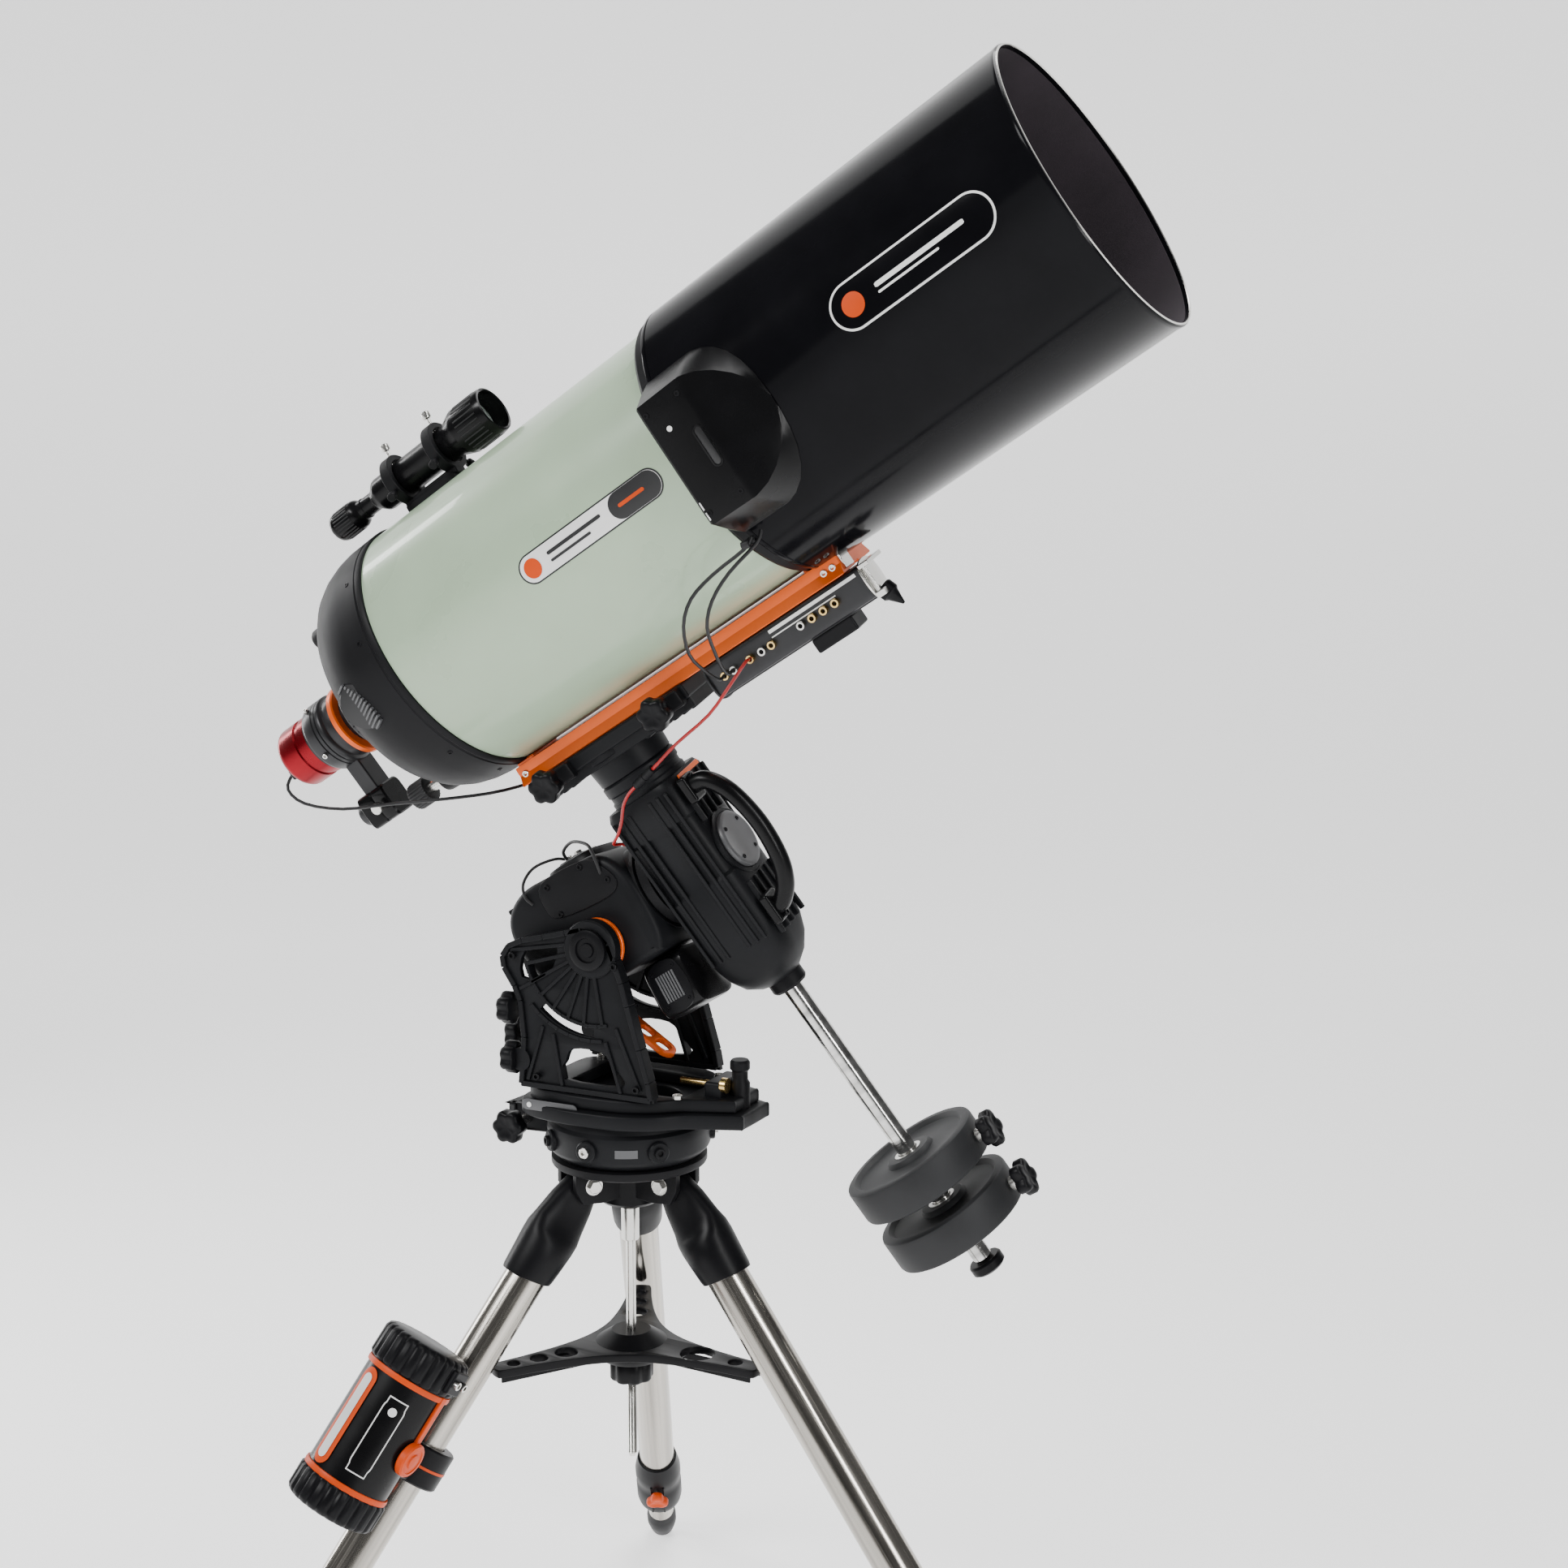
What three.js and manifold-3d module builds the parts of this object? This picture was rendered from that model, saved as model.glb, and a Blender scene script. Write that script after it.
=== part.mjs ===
// Schmidt-Cassegrain telescope on a German equatorial mount and a tube-leg tripod.
// Millimetres, +Z up, the polar axis leans toward +X, the feet stand on Z = 0.
import * as THREE from 'three';
import { mergeVertices } from 'three/addons/utils/BufferGeometryUtils.js';
import Module from 'manifold-3d';

const wasm = await Module();
wasm.setup();

// ---------------------------------------------------------------- driving dimensions
const gap = 0.3;                 // clearance left between touching pieces
const fineness = 0.5;            // share of the full number of sides on round shapes
const deg = Math.PI / 180;
const latitude = 32.1;           // tilt of the polar axis
const hourAngle = 14;            // turn of the counterweight shaft from straight down
const tripodTurn = -3.8;         // mount azimuth against the tripod

const standHeight = 772;         // floor to the top of the tripod head
const legSlope = 36.5;           // leg against the vertical
const legTubeR = 25.4;
const legInnerR = 19;
const hingeDepth = 28;           // leg hinge below the head's top
const hingeRadius = 61;

const pivotHeight = 267;         // altitude pivot above the tripod head
const plateOut = 90;             // outer face of each side plate from the meridian
const plateThick = 16;
const azimuthLever = -124;       // azimuth screws behind the azimuth axis
const raOffset = -30;            // RA axis above the altitude pivot
const raToDec = 141;             // altitude pivot to the Dec axis, along the RA axis

const tubeAxis = -371;           // optical axis from the RA axis, along the Dec axis
const tubeR = 156;
const shieldR = 166;
const cellPlane = -96;           // joint between tube and rear cell
const shieldRear = 347;
const shieldFront = 813;
const shaftR = 12.2;
const weightR = 88;
const weightThick = 44;

// ---------------------------------------------------------------- materials
function finish(color, roughness, metalness = 0) {
  return new THREE.MeshStandardMaterial({ color, roughness, metalness });
}
const blackCast = finish(0x232426, 0.6);
const blackPlastic = finish(0x1b1b1d, 0.5);
const glossBlack = finish(0x0b0b0c, 0.18);
const steel = finish(0xb9b6ad, 0.28, 1);
const sage = finish(0xb4c3ac, 0.4);
const orange = finish(0xe8641b, 0.45);
const red = finish(0xa5182b, 0.35, 0.6);
const glass = finish(0xdfe8ea, 0.05);
const iron = finish(0x2f3034, 0.7);
const silver = finish(0xd8dadb, 0.15, 1);
const rubber = finish(0x131313, 0.75);
const redWire = finish(0xb12620, 0.5);

// ---------------------------------------------------------------- shape helpers
function toSolid(geometry) {
  const bare = geometry.index ? geometry.toNonIndexed() : geometry.clone();
  bare.deleteAttribute('normal');
  bare.deleteAttribute('uv');
  const merged = mergeVertices(bare, 1e-4);
  const vertProperties = new Float32Array(merged.attributes.position.array);
  const triVerts = new Uint32Array(merged.index.array);
  return new wasm.Manifold(new wasm.Mesh({ numProp: 3, vertProperties, triVerts }));
}

function toGeometry(solid) {
  const mesh = solid.getMesh();
  const geometry = new THREE.BufferGeometry();
  geometry.setAttribute('position', new THREE.BufferAttribute(new Float32Array(mesh.vertProperties), 3));
  geometry.setIndex(new THREE.BufferAttribute(new Uint32Array(mesh.triVerts), 1));
  geometry.computeVertexNormals();
  return geometry;
}

function join(...shapes) {
  return toGeometry(shapes.map(toSolid).reduce((a, b) => a.add(b)));
}

function cut(shape, ...tools) {
  return toGeometry(tools.map(toSolid).reduce((a, b) => a.subtract(b), toSolid(shape)));
}

function keep(shape, tool) {
  return toGeometry(toSolid(shape).intersect(toSolid(tool)));
}

// Box from two opposite corners.
function block(x0, x1, y0, y1, z0, z1) {
  const g = new THREE.BoxGeometry(x1 - x0, y1 - y0, z1 - z0);
  return g.translate((x0 + x1) / 2, (y0 + y1) / 2, (z0 + z1) / 2);
}

function facets(sides) {
  return Math.max(8, Math.round(sides * fineness));
}

// Solid of revolution about Z from [radius, height] pairs, listed upward.
function turned(profile, sides = 32) {
  const points = [[0, profile[0][1]], ...profile, [0, profile.at(-1)[1]]];
  const g = new THREE.LatheGeometry(points.map(([r, z]) => new THREE.Vector2(r, z)), facets(sides));
  return g.rotateX(Math.PI / 2);
}

// Hollow of revolution about Z: outer wall listed upward, inner wall listed upward.
function shell(outer, inner, sides = 48) {
  const loop = [...outer, ...[...inner].reverse(), outer[0]];
  const g = new THREE.LatheGeometry(loop.map(([r, z]) => new THREE.Vector2(r, z)), facets(sides));
  return g.rotateX(Math.PI / 2);
}

function rod(radius, z0, z1, sides = 24) {
  return turned([[radius, z0], [radius, z1]], sides);
}

// Rod along X or Y instead of Z.
function rodX(radius, x0, x1, y = 0, z = 0, sides = 24) {
  return rod(radius, x0, x1, sides).rotateY(Math.PI / 2).translate(0, y, z);
}

function rodY(radius, y0, y1, x = 0, z = 0, sides = 24) {
  return rod(radius, -y1, -y0, sides).rotateX(Math.PI / 2).translate(x, 0, z);
}

// Flat outline in X and Z, given thickness from y0 to y1.
function slab(outline, y0, y1, holes = []) {
  const shape = new THREE.Shape(outline.map(([x, z]) => new THREE.Vector2(x, z)));
  holes.forEach((h) => shape.holes.push(h));
  const g = new THREE.ExtrudeGeometry(shape, { depth: y1 - y0, bevelEnabled: false, curveSegments: 12 });
  return g.rotateX(Math.PI / 2).translate(0, y1, 0);
}

// Block with rounded corners seen along Z.
function roundBlock(w, d, z0, z1, r, steps = 3) {
  const s = new THREE.Shape();
  s.moveTo(-w / 2 + r, -d / 2);
  s.lineTo(w / 2 - r, -d / 2);
  s.absarc(w / 2 - r, -d / 2 + r, r, -Math.PI / 2, 0);
  s.lineTo(w / 2, d / 2 - r);
  s.absarc(w / 2 - r, d / 2 - r, r, 0, Math.PI / 2);
  s.lineTo(-w / 2 + r, d / 2);
  s.absarc(-w / 2 + r, d / 2 - r, r, Math.PI / 2, Math.PI);
  s.lineTo(-w / 2, -d / 2 + r);
  s.absarc(-w / 2 + r, -d / 2 + r, r, Math.PI, Math.PI * 1.5);
  const g = new THREE.ExtrudeGeometry(s, { depth: z1 - z0, bevelEnabled: false, curveSegments: steps });
  return g.translate(0, 0, z0);
}

// Lobed hand knob along Z with its stem.
function starKnob(radius, thick, lobes, stemR, stemLength) {
  const s = new THREE.Shape();
  const count = lobes * 4;
  for (let i = 0; i < count; i += 1) {
    const a = (i / count) * Math.PI * 2;
    const r = radius * (0.86 + 0.14 * Math.cos(a * lobes));
    if (i === 0) s.moveTo(r, 0);
    else s.lineTo(r * Math.cos(a), r * Math.sin(a));
  }
  const head = new THREE.ExtrudeGeometry(s, { depth: thick, bevelEnabled: false });
  if (stemLength <= 0) return head;
  return join(head, rod(stemR, -stemLength, 2, 12));
}

// Round cord along hand-placed points.
function cord(points, radius, steps, sides = 8) {
  const curve = new THREE.CatmullRomCurve3(points.map((p) => new THREE.Vector3(...p)), false, 'centripetal');
  const section = new THREE.Shape();
  for (let i = 0; i < sides; i += 1) {
    const a = (i / sides) * Math.PI * 2;
    if (i === 0) section.moveTo(radius, 0);
    else section.lineTo(radius * Math.cos(a), radius * Math.sin(a));
  }
  return new THREE.ExtrudeGeometry(section, { steps, bevelEnabled: false, extrudePath: curve });
}

function place(group, name, geometry, material, position = [0, 0, 0], rotation = [0, 0, 0]) {
  const mesh = new THREE.Mesh(geometry, material);
  mesh.name = name;
  mesh.position.set(...position);
  mesh.rotation.set(...rotation.map((a) => a * deg));
  group.add(mesh);
  return mesh;
}

function frame(parent, position = [0, 0, 0], rotation = [0, 0, 0]) {
  const group = new THREE.Group();
  group.position.set(...position);
  group.rotation.set(...rotation.map((a) => a * deg));
  parent.add(group);
  return group;
}

// ---------------------------------------------------------------- tripod
const cheekInner = 17;
const cheekOuter = 27;

function tripodHead() {
  let head = join(turned([[92, -12], [95, -8], [95, 0]], 48), rod(38, -62, -10, 24));
  for (let i = 0; i < 3; i += 1) {
    const turn = i * 120 * deg;
    const cheeks = [-1, 1].map((s) => {
      const y0 = s > 0 ? cheekInner : -cheekOuter;
      return block(24, 84, y0, y0 + cheekOuter - cheekInner, -50, -9).rotateZ(turn);
    });
    const bolt = rodY(6, -34, 34, hingeRadius, -hingeDepth, 12).rotateZ(turn);
    head = join(head, ...cheeks, bolt);
  }
  return cut(head, rod(11, -70, 6, 24));
}

// Leg along -Z from its hinge: plastic socket, steel tube and clamp collar in one.
function legUpper() {
  const tongue = rodY(15, -16, 16, 0, 0, 20);
  const outer = turned([[29, -862], [33, -845], [33, -770], [29, -742], [legTubeR, -741],
    [legTubeR, -104], [31, -103], [33, -96], [35, -70], [24, -8]], 32);
  const flats = [-1, 1].map((s) => block(-40, 40, s > 0 ? 16 : -40, s > 0 ? 40 : -16, -68, 30));
  const body = join(cut(outer, ...flats), tongue);
  const bore = rod(legInnerR + gap, -900, -600, 28);
  const knobHole = rodX(6.8, -60, -14, 0, -800, 12);
  return cut(body, rodY(7, -30, 30, 0, 0, 12), bore, knobHole);
}

function legExtension() {
  return turned([[6, -966], [17, -958], [22, -936], [22, -914], [legInnerR, -912], [legInnerR, -640]], 28);
}

function legLockKnob() {
  return join(starKnob(17, 12, 3, 5, 0), rod(5.6, -14, 2, 12));
}

function centreRod() {
  return turned([[6, -392], [6, -112], [11, -110], [11, -70], [6, -69], [6, -64], [10.5, -63], [10.5, 14]], 16);
}

const trayLevel = -240;
const trayArm = 184;

function spreaderTray() {
  const arm = (turn) => {
    const outline = [[10, -34], [70, -27], [130, -19], [trayArm, -15], [trayArm, 15], [130, 19], [70, 27], [10, 34]];
    const s = new THREE.Shape(outline.map(([x, y]) => new THREE.Vector2(x, y)));
    [[84, 15], [122, 12], [156, 9]].forEach(([x, r]) => {
      const hole = new THREE.Path();
      hole.absarc(x, 0, r, 0, Math.PI * 2);
      s.holes.push(hole);
    });
    const g = new THREE.ExtrudeGeometry(s, { depth: 16, bevelEnabled: false, curveSegments: 7 });
    return g.translate(0, 0, trayLevel - 16).rotateZ(turn);
  };
  const hub = turned([[40, trayLevel - 22], [44, trayLevel - 16], [44, trayLevel], [22, trayLevel + 14]], 24);
  return cut(join(hub, ...[0, 1, 2].map((i) => arm(i * 120 * deg))), rod(7, -300, -200, 16));
}

function trayKnob() {
  return cut(turned([[24, -292], [27, -288], [27, -270], [20, trayLevel - 22 - gap]], 24), rod(7, -300, -200, 16));
}

// ---------------------------------------------------------------- azimuth base and side plates
function azimuthBase() {
  const body = turned([[88, gap], [98, 10], [100, 40], [92, 56 - gap]], 48);
  const bosses = [-1, 1].map((s) => rodY(13, s > 0 ? 80 : -106, s > 0 ? 106 : -80, 0, 28, 16));
  const lug = block(-154, -70, -34, 34, 18, 50);
  const tool = block(-140, -108, -22, 22, 10, 60);
  return cut(join(body, ...bosses, lug), tool, rod(11, -10, 70, 24), rodY(7.4, -60, 60, azimuthLever, 34, 12));
}

function azimuthPlate() {
  const outline = new THREE.Shape();
  outline.moveTo(-104, -76);
  outline.quadraticCurveTo(-60, -104, 0, -104);
  outline.quadraticCurveTo(70, -102, 108, -62);
  outline.lineTo(172, -34);
  outline.lineTo(172, 34);
  outline.lineTo(108, 62);
  outline.quadraticCurveTo(70, 102, 0, 104);
  outline.quadraticCurveTo(-60, 104, -104, 76);
  const deck = new THREE.ExtrudeGeometry(outline, { depth: 34, bevelEnabled: false, curveSegments: 6 });
  deck.translate(0, 0, 56);
  const post = rod(11, 60, 132, 16).translate(152, 0, 0);
  const arm = block(-134, -96, -14, 14, 56, 74);
  const tongue = block(-132, -116, -9, 9, 26, 60);
  const tower = block(120, 140, -30, 30, 60, 108);
  const pocket = block(-60, 100, -56, 56, 74, 100);
  return join(cut(join(deck, post, tower), pocket), arm, tongue);
}

function azimuthKnob() {
  return starKnob(21, 18, 6, 6.5, 50);
}

function sidePlate() {
  const top = pivotHeight;
  const outline = [[-100, 90.3], [84, 90.3], [76, 132], [44, 232], [30, 262], [24, 282], [8, 294], [-12, 293],
    [-34, 285], [-96, 272], [-118, 262], [-126, 248], [-124, 236], [-106, 214], [-100, 196], [-94, 150]];
  const plate = slab(outline, -plateThick / 2, plateThick / 2);
  const slot = new THREE.Shape();
  slot.absarc(0, 0, 106, 232 * deg, 268 * deg);
  slot.absarc(0, 0, 95, 268 * deg, 232 * deg, true);
  const arc = new THREE.ExtrudeGeometry(slot, { depth: 60, bevelEnabled: false, curveSegments: 8 });
  arc.rotateX(Math.PI / 2).translate(0, 30, top);
  const pockets = [
    slab([[-40, 110], [40, 110], [14, 146], [-30, 146]], -30, 30),
    slab([[-88, 262], [-44, 268], [-58, 232], [-92, 226]], -30, 30),
  ];
  return cut(plate, arc, rodY(18, -30, 30, 0, top, 24), ...pockets);
}

// ---------------------------------------------------------------- altitude parts
function altitudeAxle() {
  const inner = plateOut - plateThick - gap;
  const parts = [rodY(16.5, -plateOut - 3, plateOut + 3, 0, 0, 24)];
  [-1, 1].forEach((s) => {
    parts.push(rodY(34, s > 0 ? inner - 8 : -inner, s > 0 ? inner : -inner + 8, 0, 0, 36));
    parts.push(rodY(24, s > 0 ? plateOut + gap : -plateOut - 6, s > 0 ? plateOut + 6 : -plateOut - gap, 0, 0, 24));
  });
  return join(...parts);
}

function raHousing() {
  const yHalf = 62;
  const main = slab([[-106, -66], [-104, -20], [-98, 40], [-84, 66], [-30, 84 - 4], [30, 78], [44, 60],
    [44, -20], [26, -70], [-10, -104], [-60, -112], [-88, -100]], -yHalf, yHalf);
  const barrel = rod(58, -118, 84 - 4, 32).translate(raOffset, 0, 0);
  const bore = rod(22, -140, 100, 24).translate(raOffset, 0, 0);
  return cut(join(main, barrel), rodY(16.5 + gap, -80, 80, 0, 0, 24), bore);
}

function raMotorCover() {
  return join(roundBlock(72, 84, 18, 76, 14).translate(82, 0, 0),
    roundBlock(60, 60, 10, 20, 12).translate(80, 0, 0));
}

function altitudeLink() {
  const bars = [-1, 1].map((s) => block(-44, 44, s * 12 - 3, s * 12 + 3, -4, 4));
  const rungs = [-40, -14, 14, 40].map((x) => block(x - 4, x + 4, -14, 14, -3, 3));
  return join(...bars, ...rungs);
}

// ---------------------------------------------------------------- Dec axis
function decHousing() {
  const body = roundBlock(108, 112, -110, 136, 20, 3).rotateY(Math.PI / 2).translate(0, 0, 0);
  const nose = new THREE.SphereGeometry(1, 16, 10).scale(46, 54.3, 50.7).translate(127, 0, 0);
  const collar = rodX(49, -136, -104, 0, 0, 32);
  const flange = rod(55, -60, -40, 32);
  const ribs = [-34, 0, 34].map((y) => block(-60, 120, y - 3, y + 3, 50, 57));
  const hub = join(body, nose, collar, flange, ...ribs);
  return cut(hub, rodX(shaftR + gap, 90, 200, 0, 0, 24), rod(38.5, 52, 70, 32));
}

function axisCover() {
  return turned([[36, 52.3], [36, 56], [33, 60]], 36);
}

function carryHandle() {
  const path = [[-84, 60], [-80, 84], [-56, 100], [-10, 108], [36, 104], [66, 92], [84, 72], [86, 56]];
  const curve = new THREE.CatmullRomCurve3(path.map(([x, z]) => new THREE.Vector3(x, -34, z)));
  const section = new THREE.Shape();
  for (let i = 0; i < 10; i += 1) {
    const a = (i / 10) * Math.PI * 2;
    if (i === 0) section.moveTo(8, 0);
    else section.lineTo(8 * Math.cos(a), 12 * Math.sin(a));
  }
  const bar = new THREE.ExtrudeGeometry(section, { steps: 26, bevelEnabled: false, extrudePath: curve });
  const feet = [block(-100, -66, -50, -18, 57.5, 70), block(66, 104, -50, -18, 57.5, 70)];
  return keep(join(bar, ...feet), block(-140, 140, -60, 60, 57.5, 140));
}

function counterweightShaft() {
  return rodX(shaftR, 100, 590, 0, 0, 24);
}

const weightStart = [428, 500];

function counterweight() {
  const t = weightThick;
  const disc = shell([[shaftR + 1, 0], [30, 0], [34, 5], [74, 5], [78, 0], [weightR - 3, 0], [weightR, 3],
    [weightR, t - 3], [weightR - 3, t], [shaftR + 1, t]], [[shaftR + 1, t / 2]], 48);
  const hole = rodX(6, -weightR - 20, -shaftR + 4, 0, t / 2, 16);
  return cut(disc, hole);
}

function counterweightKnob() {
  return join(starKnob(23, 16, 5, 5, 0), rod(5, -36, 2, 12), rod(9, -10, 2, 16));
}

function toeSaver() {
  return turned([[20, 0], [22, 3], [22, 12], [18, 15]], 24);
}

// ---------------------------------------------------------------- saddle and dovetail
const barTop = tubeAxis + 158;
const barThick = 23;
const saddleTop = barTop + barThick + gap;

function dovetailBar() {
  const flare = 8;
  const half = 52;
  const s = new THREE.Shape();
  s.moveTo(barTop, -half + flare);
  s.lineTo(barTop + barThick * 0.5, -half + flare);
  s.lineTo(barTop + barThick, -half);
  s.lineTo(barTop + barThick, half);
  s.lineTo(barTop + barThick * 0.5, half - flare);
  s.lineTo(barTop, half - flare);
  const g = new THREE.ExtrudeGeometry(s, { depth: 486, bevelEnabled: false });
  g.translate(0, 0, -112);
  return cut(g, rod(shieldR + 3, -200, 500, 64).translate(tubeAxis, 0, 0));
}

function saddle() {
  const plate = block(saddleTop, saddleTop + 22, -60, 60, -92, 140);
  const jaw = block(saddleTop - 18, saddleTop + 22, 54, 70, -92, 140);
  const neck = rodX(50, saddleTop + 20, -136 - gap, 0, 0, 32);
  const ribs = [-70, -40, 70, 100, 130].map((z) => block(saddleTop + 20, saddleTop + 34, -52, 52, z - 4, z + 4));
  const holes = [-62, 108].map((z) => rodY(7, -80, -20, saddleTop + 11, z, 12));
  return cut(join(plate, jaw, neck, ...ribs), ...holes);
}

function saddleKnob() {
  return join(starKnob(20, 18, 6, 6, 0), rod(6, -34, 2, 12));
}

// ---------------------------------------------------------------- optical tube
function mainTube() {
  return shell([[tubeR, cellPlane + gap], [tubeR, 330]], [[tubeR - 3, cellPlane + gap], [tubeR - 3, 330]], 56);
}

function rearCell() {
  const outer = [[159, cellPlane], [157, -150], [150, -178], [132, -200], [100, -214], [52, -220], [52, -232], [30, -232]];
  const inner = [[150, cellPlane], [149, -148], [140, -172], [90, -203], [30, -207]];
  const body = shell([...outer].reverse(), [...inner].reverse(), 56);
  const knobHole = rod(8.8, -240, -180, 16).translate(120, -20, 0);
  return cut(body, knobHole);
}

function frontCell() {
  return shell([[159, 332], [162, 338], [162, 386], [152, 390]],
    [[141, 332], [141, 372], [147, 372], [147, 390]], 48);
}

function correctorPlate() {
  return cut(rod(145.6, 372.3, 378, 48), rod(46, 360, 390, 32));
}

function secondaryHousing() {
  return turned([[38, 352], [45.5, 358], [45.5, 372], [45.5, 378], [52, 378.3], [52, 384], [44, 388]], 32);
}

function primaryMirror() {
  return shell([[142, -138], [142, -112], [32.5, -128]], [[32.5, -138]], 48);
}

function baffleTube() {
  return shell([[36, -206.5], [36, -203], [29, -202], [29, -140], [29, 130]],
    [[25, -206.5], [25, 130]], 24);
}

function dewShield() {
  return shell([[shieldR, shieldRear], [shieldR, shieldFront]],
    [[shieldR - 3, shieldRear], [shieldR - 3, shieldFront]], 64);
}

function heaterHousing() {
  const outline = new THREE.Shape();
  outline.moveTo(-92, 0);
  outline.lineTo(-70, -30);
  outline.lineTo(70, -30);
  outline.lineTo(92, 0);
  outline.lineTo(92, 60);
  outline.lineTo(-92, 60);
  const raw = new THREE.ExtrudeGeometry(outline, { depth: 120, bevelEnabled: false });
  raw.translate(0, -168, 344);
  const slope = block(-120, 120, -300, -100, 0, 90).rotateX(-42 * deg).translate(0, -172, 404);
  const core = rod(shieldR + 0.9, 300, 500, 64);
  const slot = block(-30, 30, -210, -190, 388, 396);
  return cut(raw, core, slope, slot);
}

function focusKnob() {
  return join(starKnob(17, 26, 12, 7, 0), rod(7.6, 20, 66, 16));
}

function visualBack() {
  const rings = turned([[44, -330], [44, -300], [40, -298], [40, -286], [46, -284], [46, -276], [30, -274],
    [30, -262], [50, -260], [50, -240], [36, -238], [36, -232.3]], 36);
  const guider = join(block(30, 96, -18, 18, -326, -302), roundBlock(44, 44, -340, -296, 8).translate(104, 0, 0));
  return join(rings, guider);
}

function imagingCamera() {
  return turned([[34, -384], [39, -380], [39, -352], [37, -350], [37, -346], [39, -344], [39, -330.3]], 36);
}

function finderTube() {
  return turned([[16, -172], [18, -168], [18, -132], [12, -128], [12, -104], [21, -92], [21, 30], [29, 44],
    [29, 92], [26, 94]], 28);
}

function finderBracket() {
  const rings = [-60, 10].map((z) => shell([[31, z - 7], [31, z + 7]], [[24, z - 7], [24, z + 7]], 28));
  const spine = block(27, 36, -12, 12, -67, 17);
  const foot = block(34, 44, -17, 17, -64, 14);
  const screws = [];
  [-60, 10].forEach((z) => [60, 180, 300].forEach((a) => {
    const screw = join(rodX(2.2, 21.6, 40, 0, z, 8), rodX(5, 40, 48, 0, z, 10));
    screws.push(screw.rotateZ(a * deg));
  }));
  return join(...rings, spine, foot, ...screws);
}

function powerController() {
  const body = roundBlock(40, 46, 168, 392, 4, 2).translate(-169.4, -30, 0);
  const bracket = block(-192, -146, -56, -6, 390, 404);
  const knob = rodX(11, -152, -136, -30, 396, 16);
  const sockets = [190, 203, 227, 300, 330].map((z) => rodY(5, -60, -50, -170, z, 10));
  return join(body, bracket, knob, ...sockets);
}

// ---------------------------------------------------------------- power tank on the first tripod leg
function powerTank() {
  const body = turned([[48, 0], [55, 6], [55, 34], [51, 36], [51, 172], [55, 174], [55, 208], [48, 214]], 36);
  const port = rodY(20, -64, -44, 0, 120, 20);
  const socket = block(-18, 18, -60, -40, 176, 206);
  return join(body, port, socket);
}

function tankStrap() {
  const band = shell([[40, 0], [40, 46]], [[legTubeR + 1.2, 0], [legTubeR + 1.2, 46]], 32);
  return join(band, block(36, 58, -24, 24, 4, 42));
}

// ---------------------------------------------------------------- cords
const dewLeads = [
  [[-279.3, -154, 354], [-273, -160, 342], [-270, -168, 300], [-262, -172, 265], [-243, -168, 238],
    [-214, -135, 208], [-190, -96, 192], [-171, -76, 190], [-170, -60.4, 190]],
  [[-279.3, -146, 364], [-271, -153, 354], [-262, -163, 314], [-248, -166, 281], [-228, -160, 256],
    [-202, -125, 230], [-180, -90, 209], [-170, -74, 203], [-170, -60.4, 203]],
];
const cameraRoute = [[-360, -8, -384.4], [-360, -8, -402], [-348, -16, -414], [-322, -26, -398],
  [-290, -42, -345], [-264, -52, -280], [-236, -50, -222], [-206, -24, -172], [-188, 24, -150],
  [-182, 64, -138], [-177, 84, -112], [-176, 86, -60], [-176, 86, 80], [-176, 86, 140], [-174, 76, 176],
  [-171, 48, 194], [-169.4, 18, 198], [-169.4, -6.5, 198]];
const powerRoute = [[-170, -60.4, 227], [-170, -74, 227], [-160, -92, 206], [-146, -101, 168],
  [-139, -101, 115], [-131, -96, 76], [-128, -92, 60]];

// ---------------------------------------------------------------- assembly
const telescope = new THREE.Group();
const stand = frame(telescope, [0, 0, standHeight]);

const tripod = frame(stand, [0, 0, 0], [0, 0, tripodTurn]);
place(tripod, 'tripod_head', tripodHead(), blackCast);
place(tripod, 'centre_rod', centreRod(), steel);
place(tripod, 'spreader_tray', spreaderTray(), blackPlastic);
place(tripod, 'tray_knob', trayKnob(), blackPlastic);
for (let i = 0; i < 3; i += 1) {
  const side = frame(tripod, [0, 0, 0], [0, 0, i * 120]);
  const leg = frame(side, [hingeRadius, 0, -hingeDepth], [0, -legSlope, 0]);
  place(leg, `leg_${i + 1}`, legUpper(), steel);
  place(leg, `leg_extension_${i + 1}`, legExtension(), steel);
  place(leg, `leg_lock_knob_${i + 1}`, legLockKnob(), orange, [-36, 0, -800], [0, -90, 0]);
  if (i === 2) {
    const along = frame(leg, [0, 0, -398], [0, 0, 32]);
    place(along, 'tank_strap', tankStrap(), blackPlastic);
    place(along, 'power_tank', powerTank(), blackPlastic, [114, 0, -60]);
  }
}

const mount = frame(stand);
place(mount, 'azimuth_base', azimuthBase(), blackCast);
place(mount, 'azimuth_plate', azimuthPlate(), blackCast);
place(mount, 'azimuth_knob_1', azimuthKnob(), blackPlastic, [azimuthLever, -66, 34], [90, 0, 0]);
place(mount, 'azimuth_knob_2', azimuthKnob(), blackPlastic, [azimuthLever, 66, 34], [-90, 0, 0]);
const plateMid = plateOut - plateThick / 2;
place(mount, 'side_plate_near', sidePlate(), blackCast, [0, -plateMid, 0]);
place(mount, 'side_plate_far', sidePlate(), blackCast, [0, plateMid, 0]);
place(mount, 'altitude_lock_knob_1', starKnob(20, 18, 6, 7, 0), blackPlastic, [-108, -plateMid, 184], [0, -90, 0]);
place(mount, 'altitude_lock_knob_2', starKnob(20, 18, 6, 7, 0), blackPlastic, [-104, -plateMid, 124], [0, -90, 0]);
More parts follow.
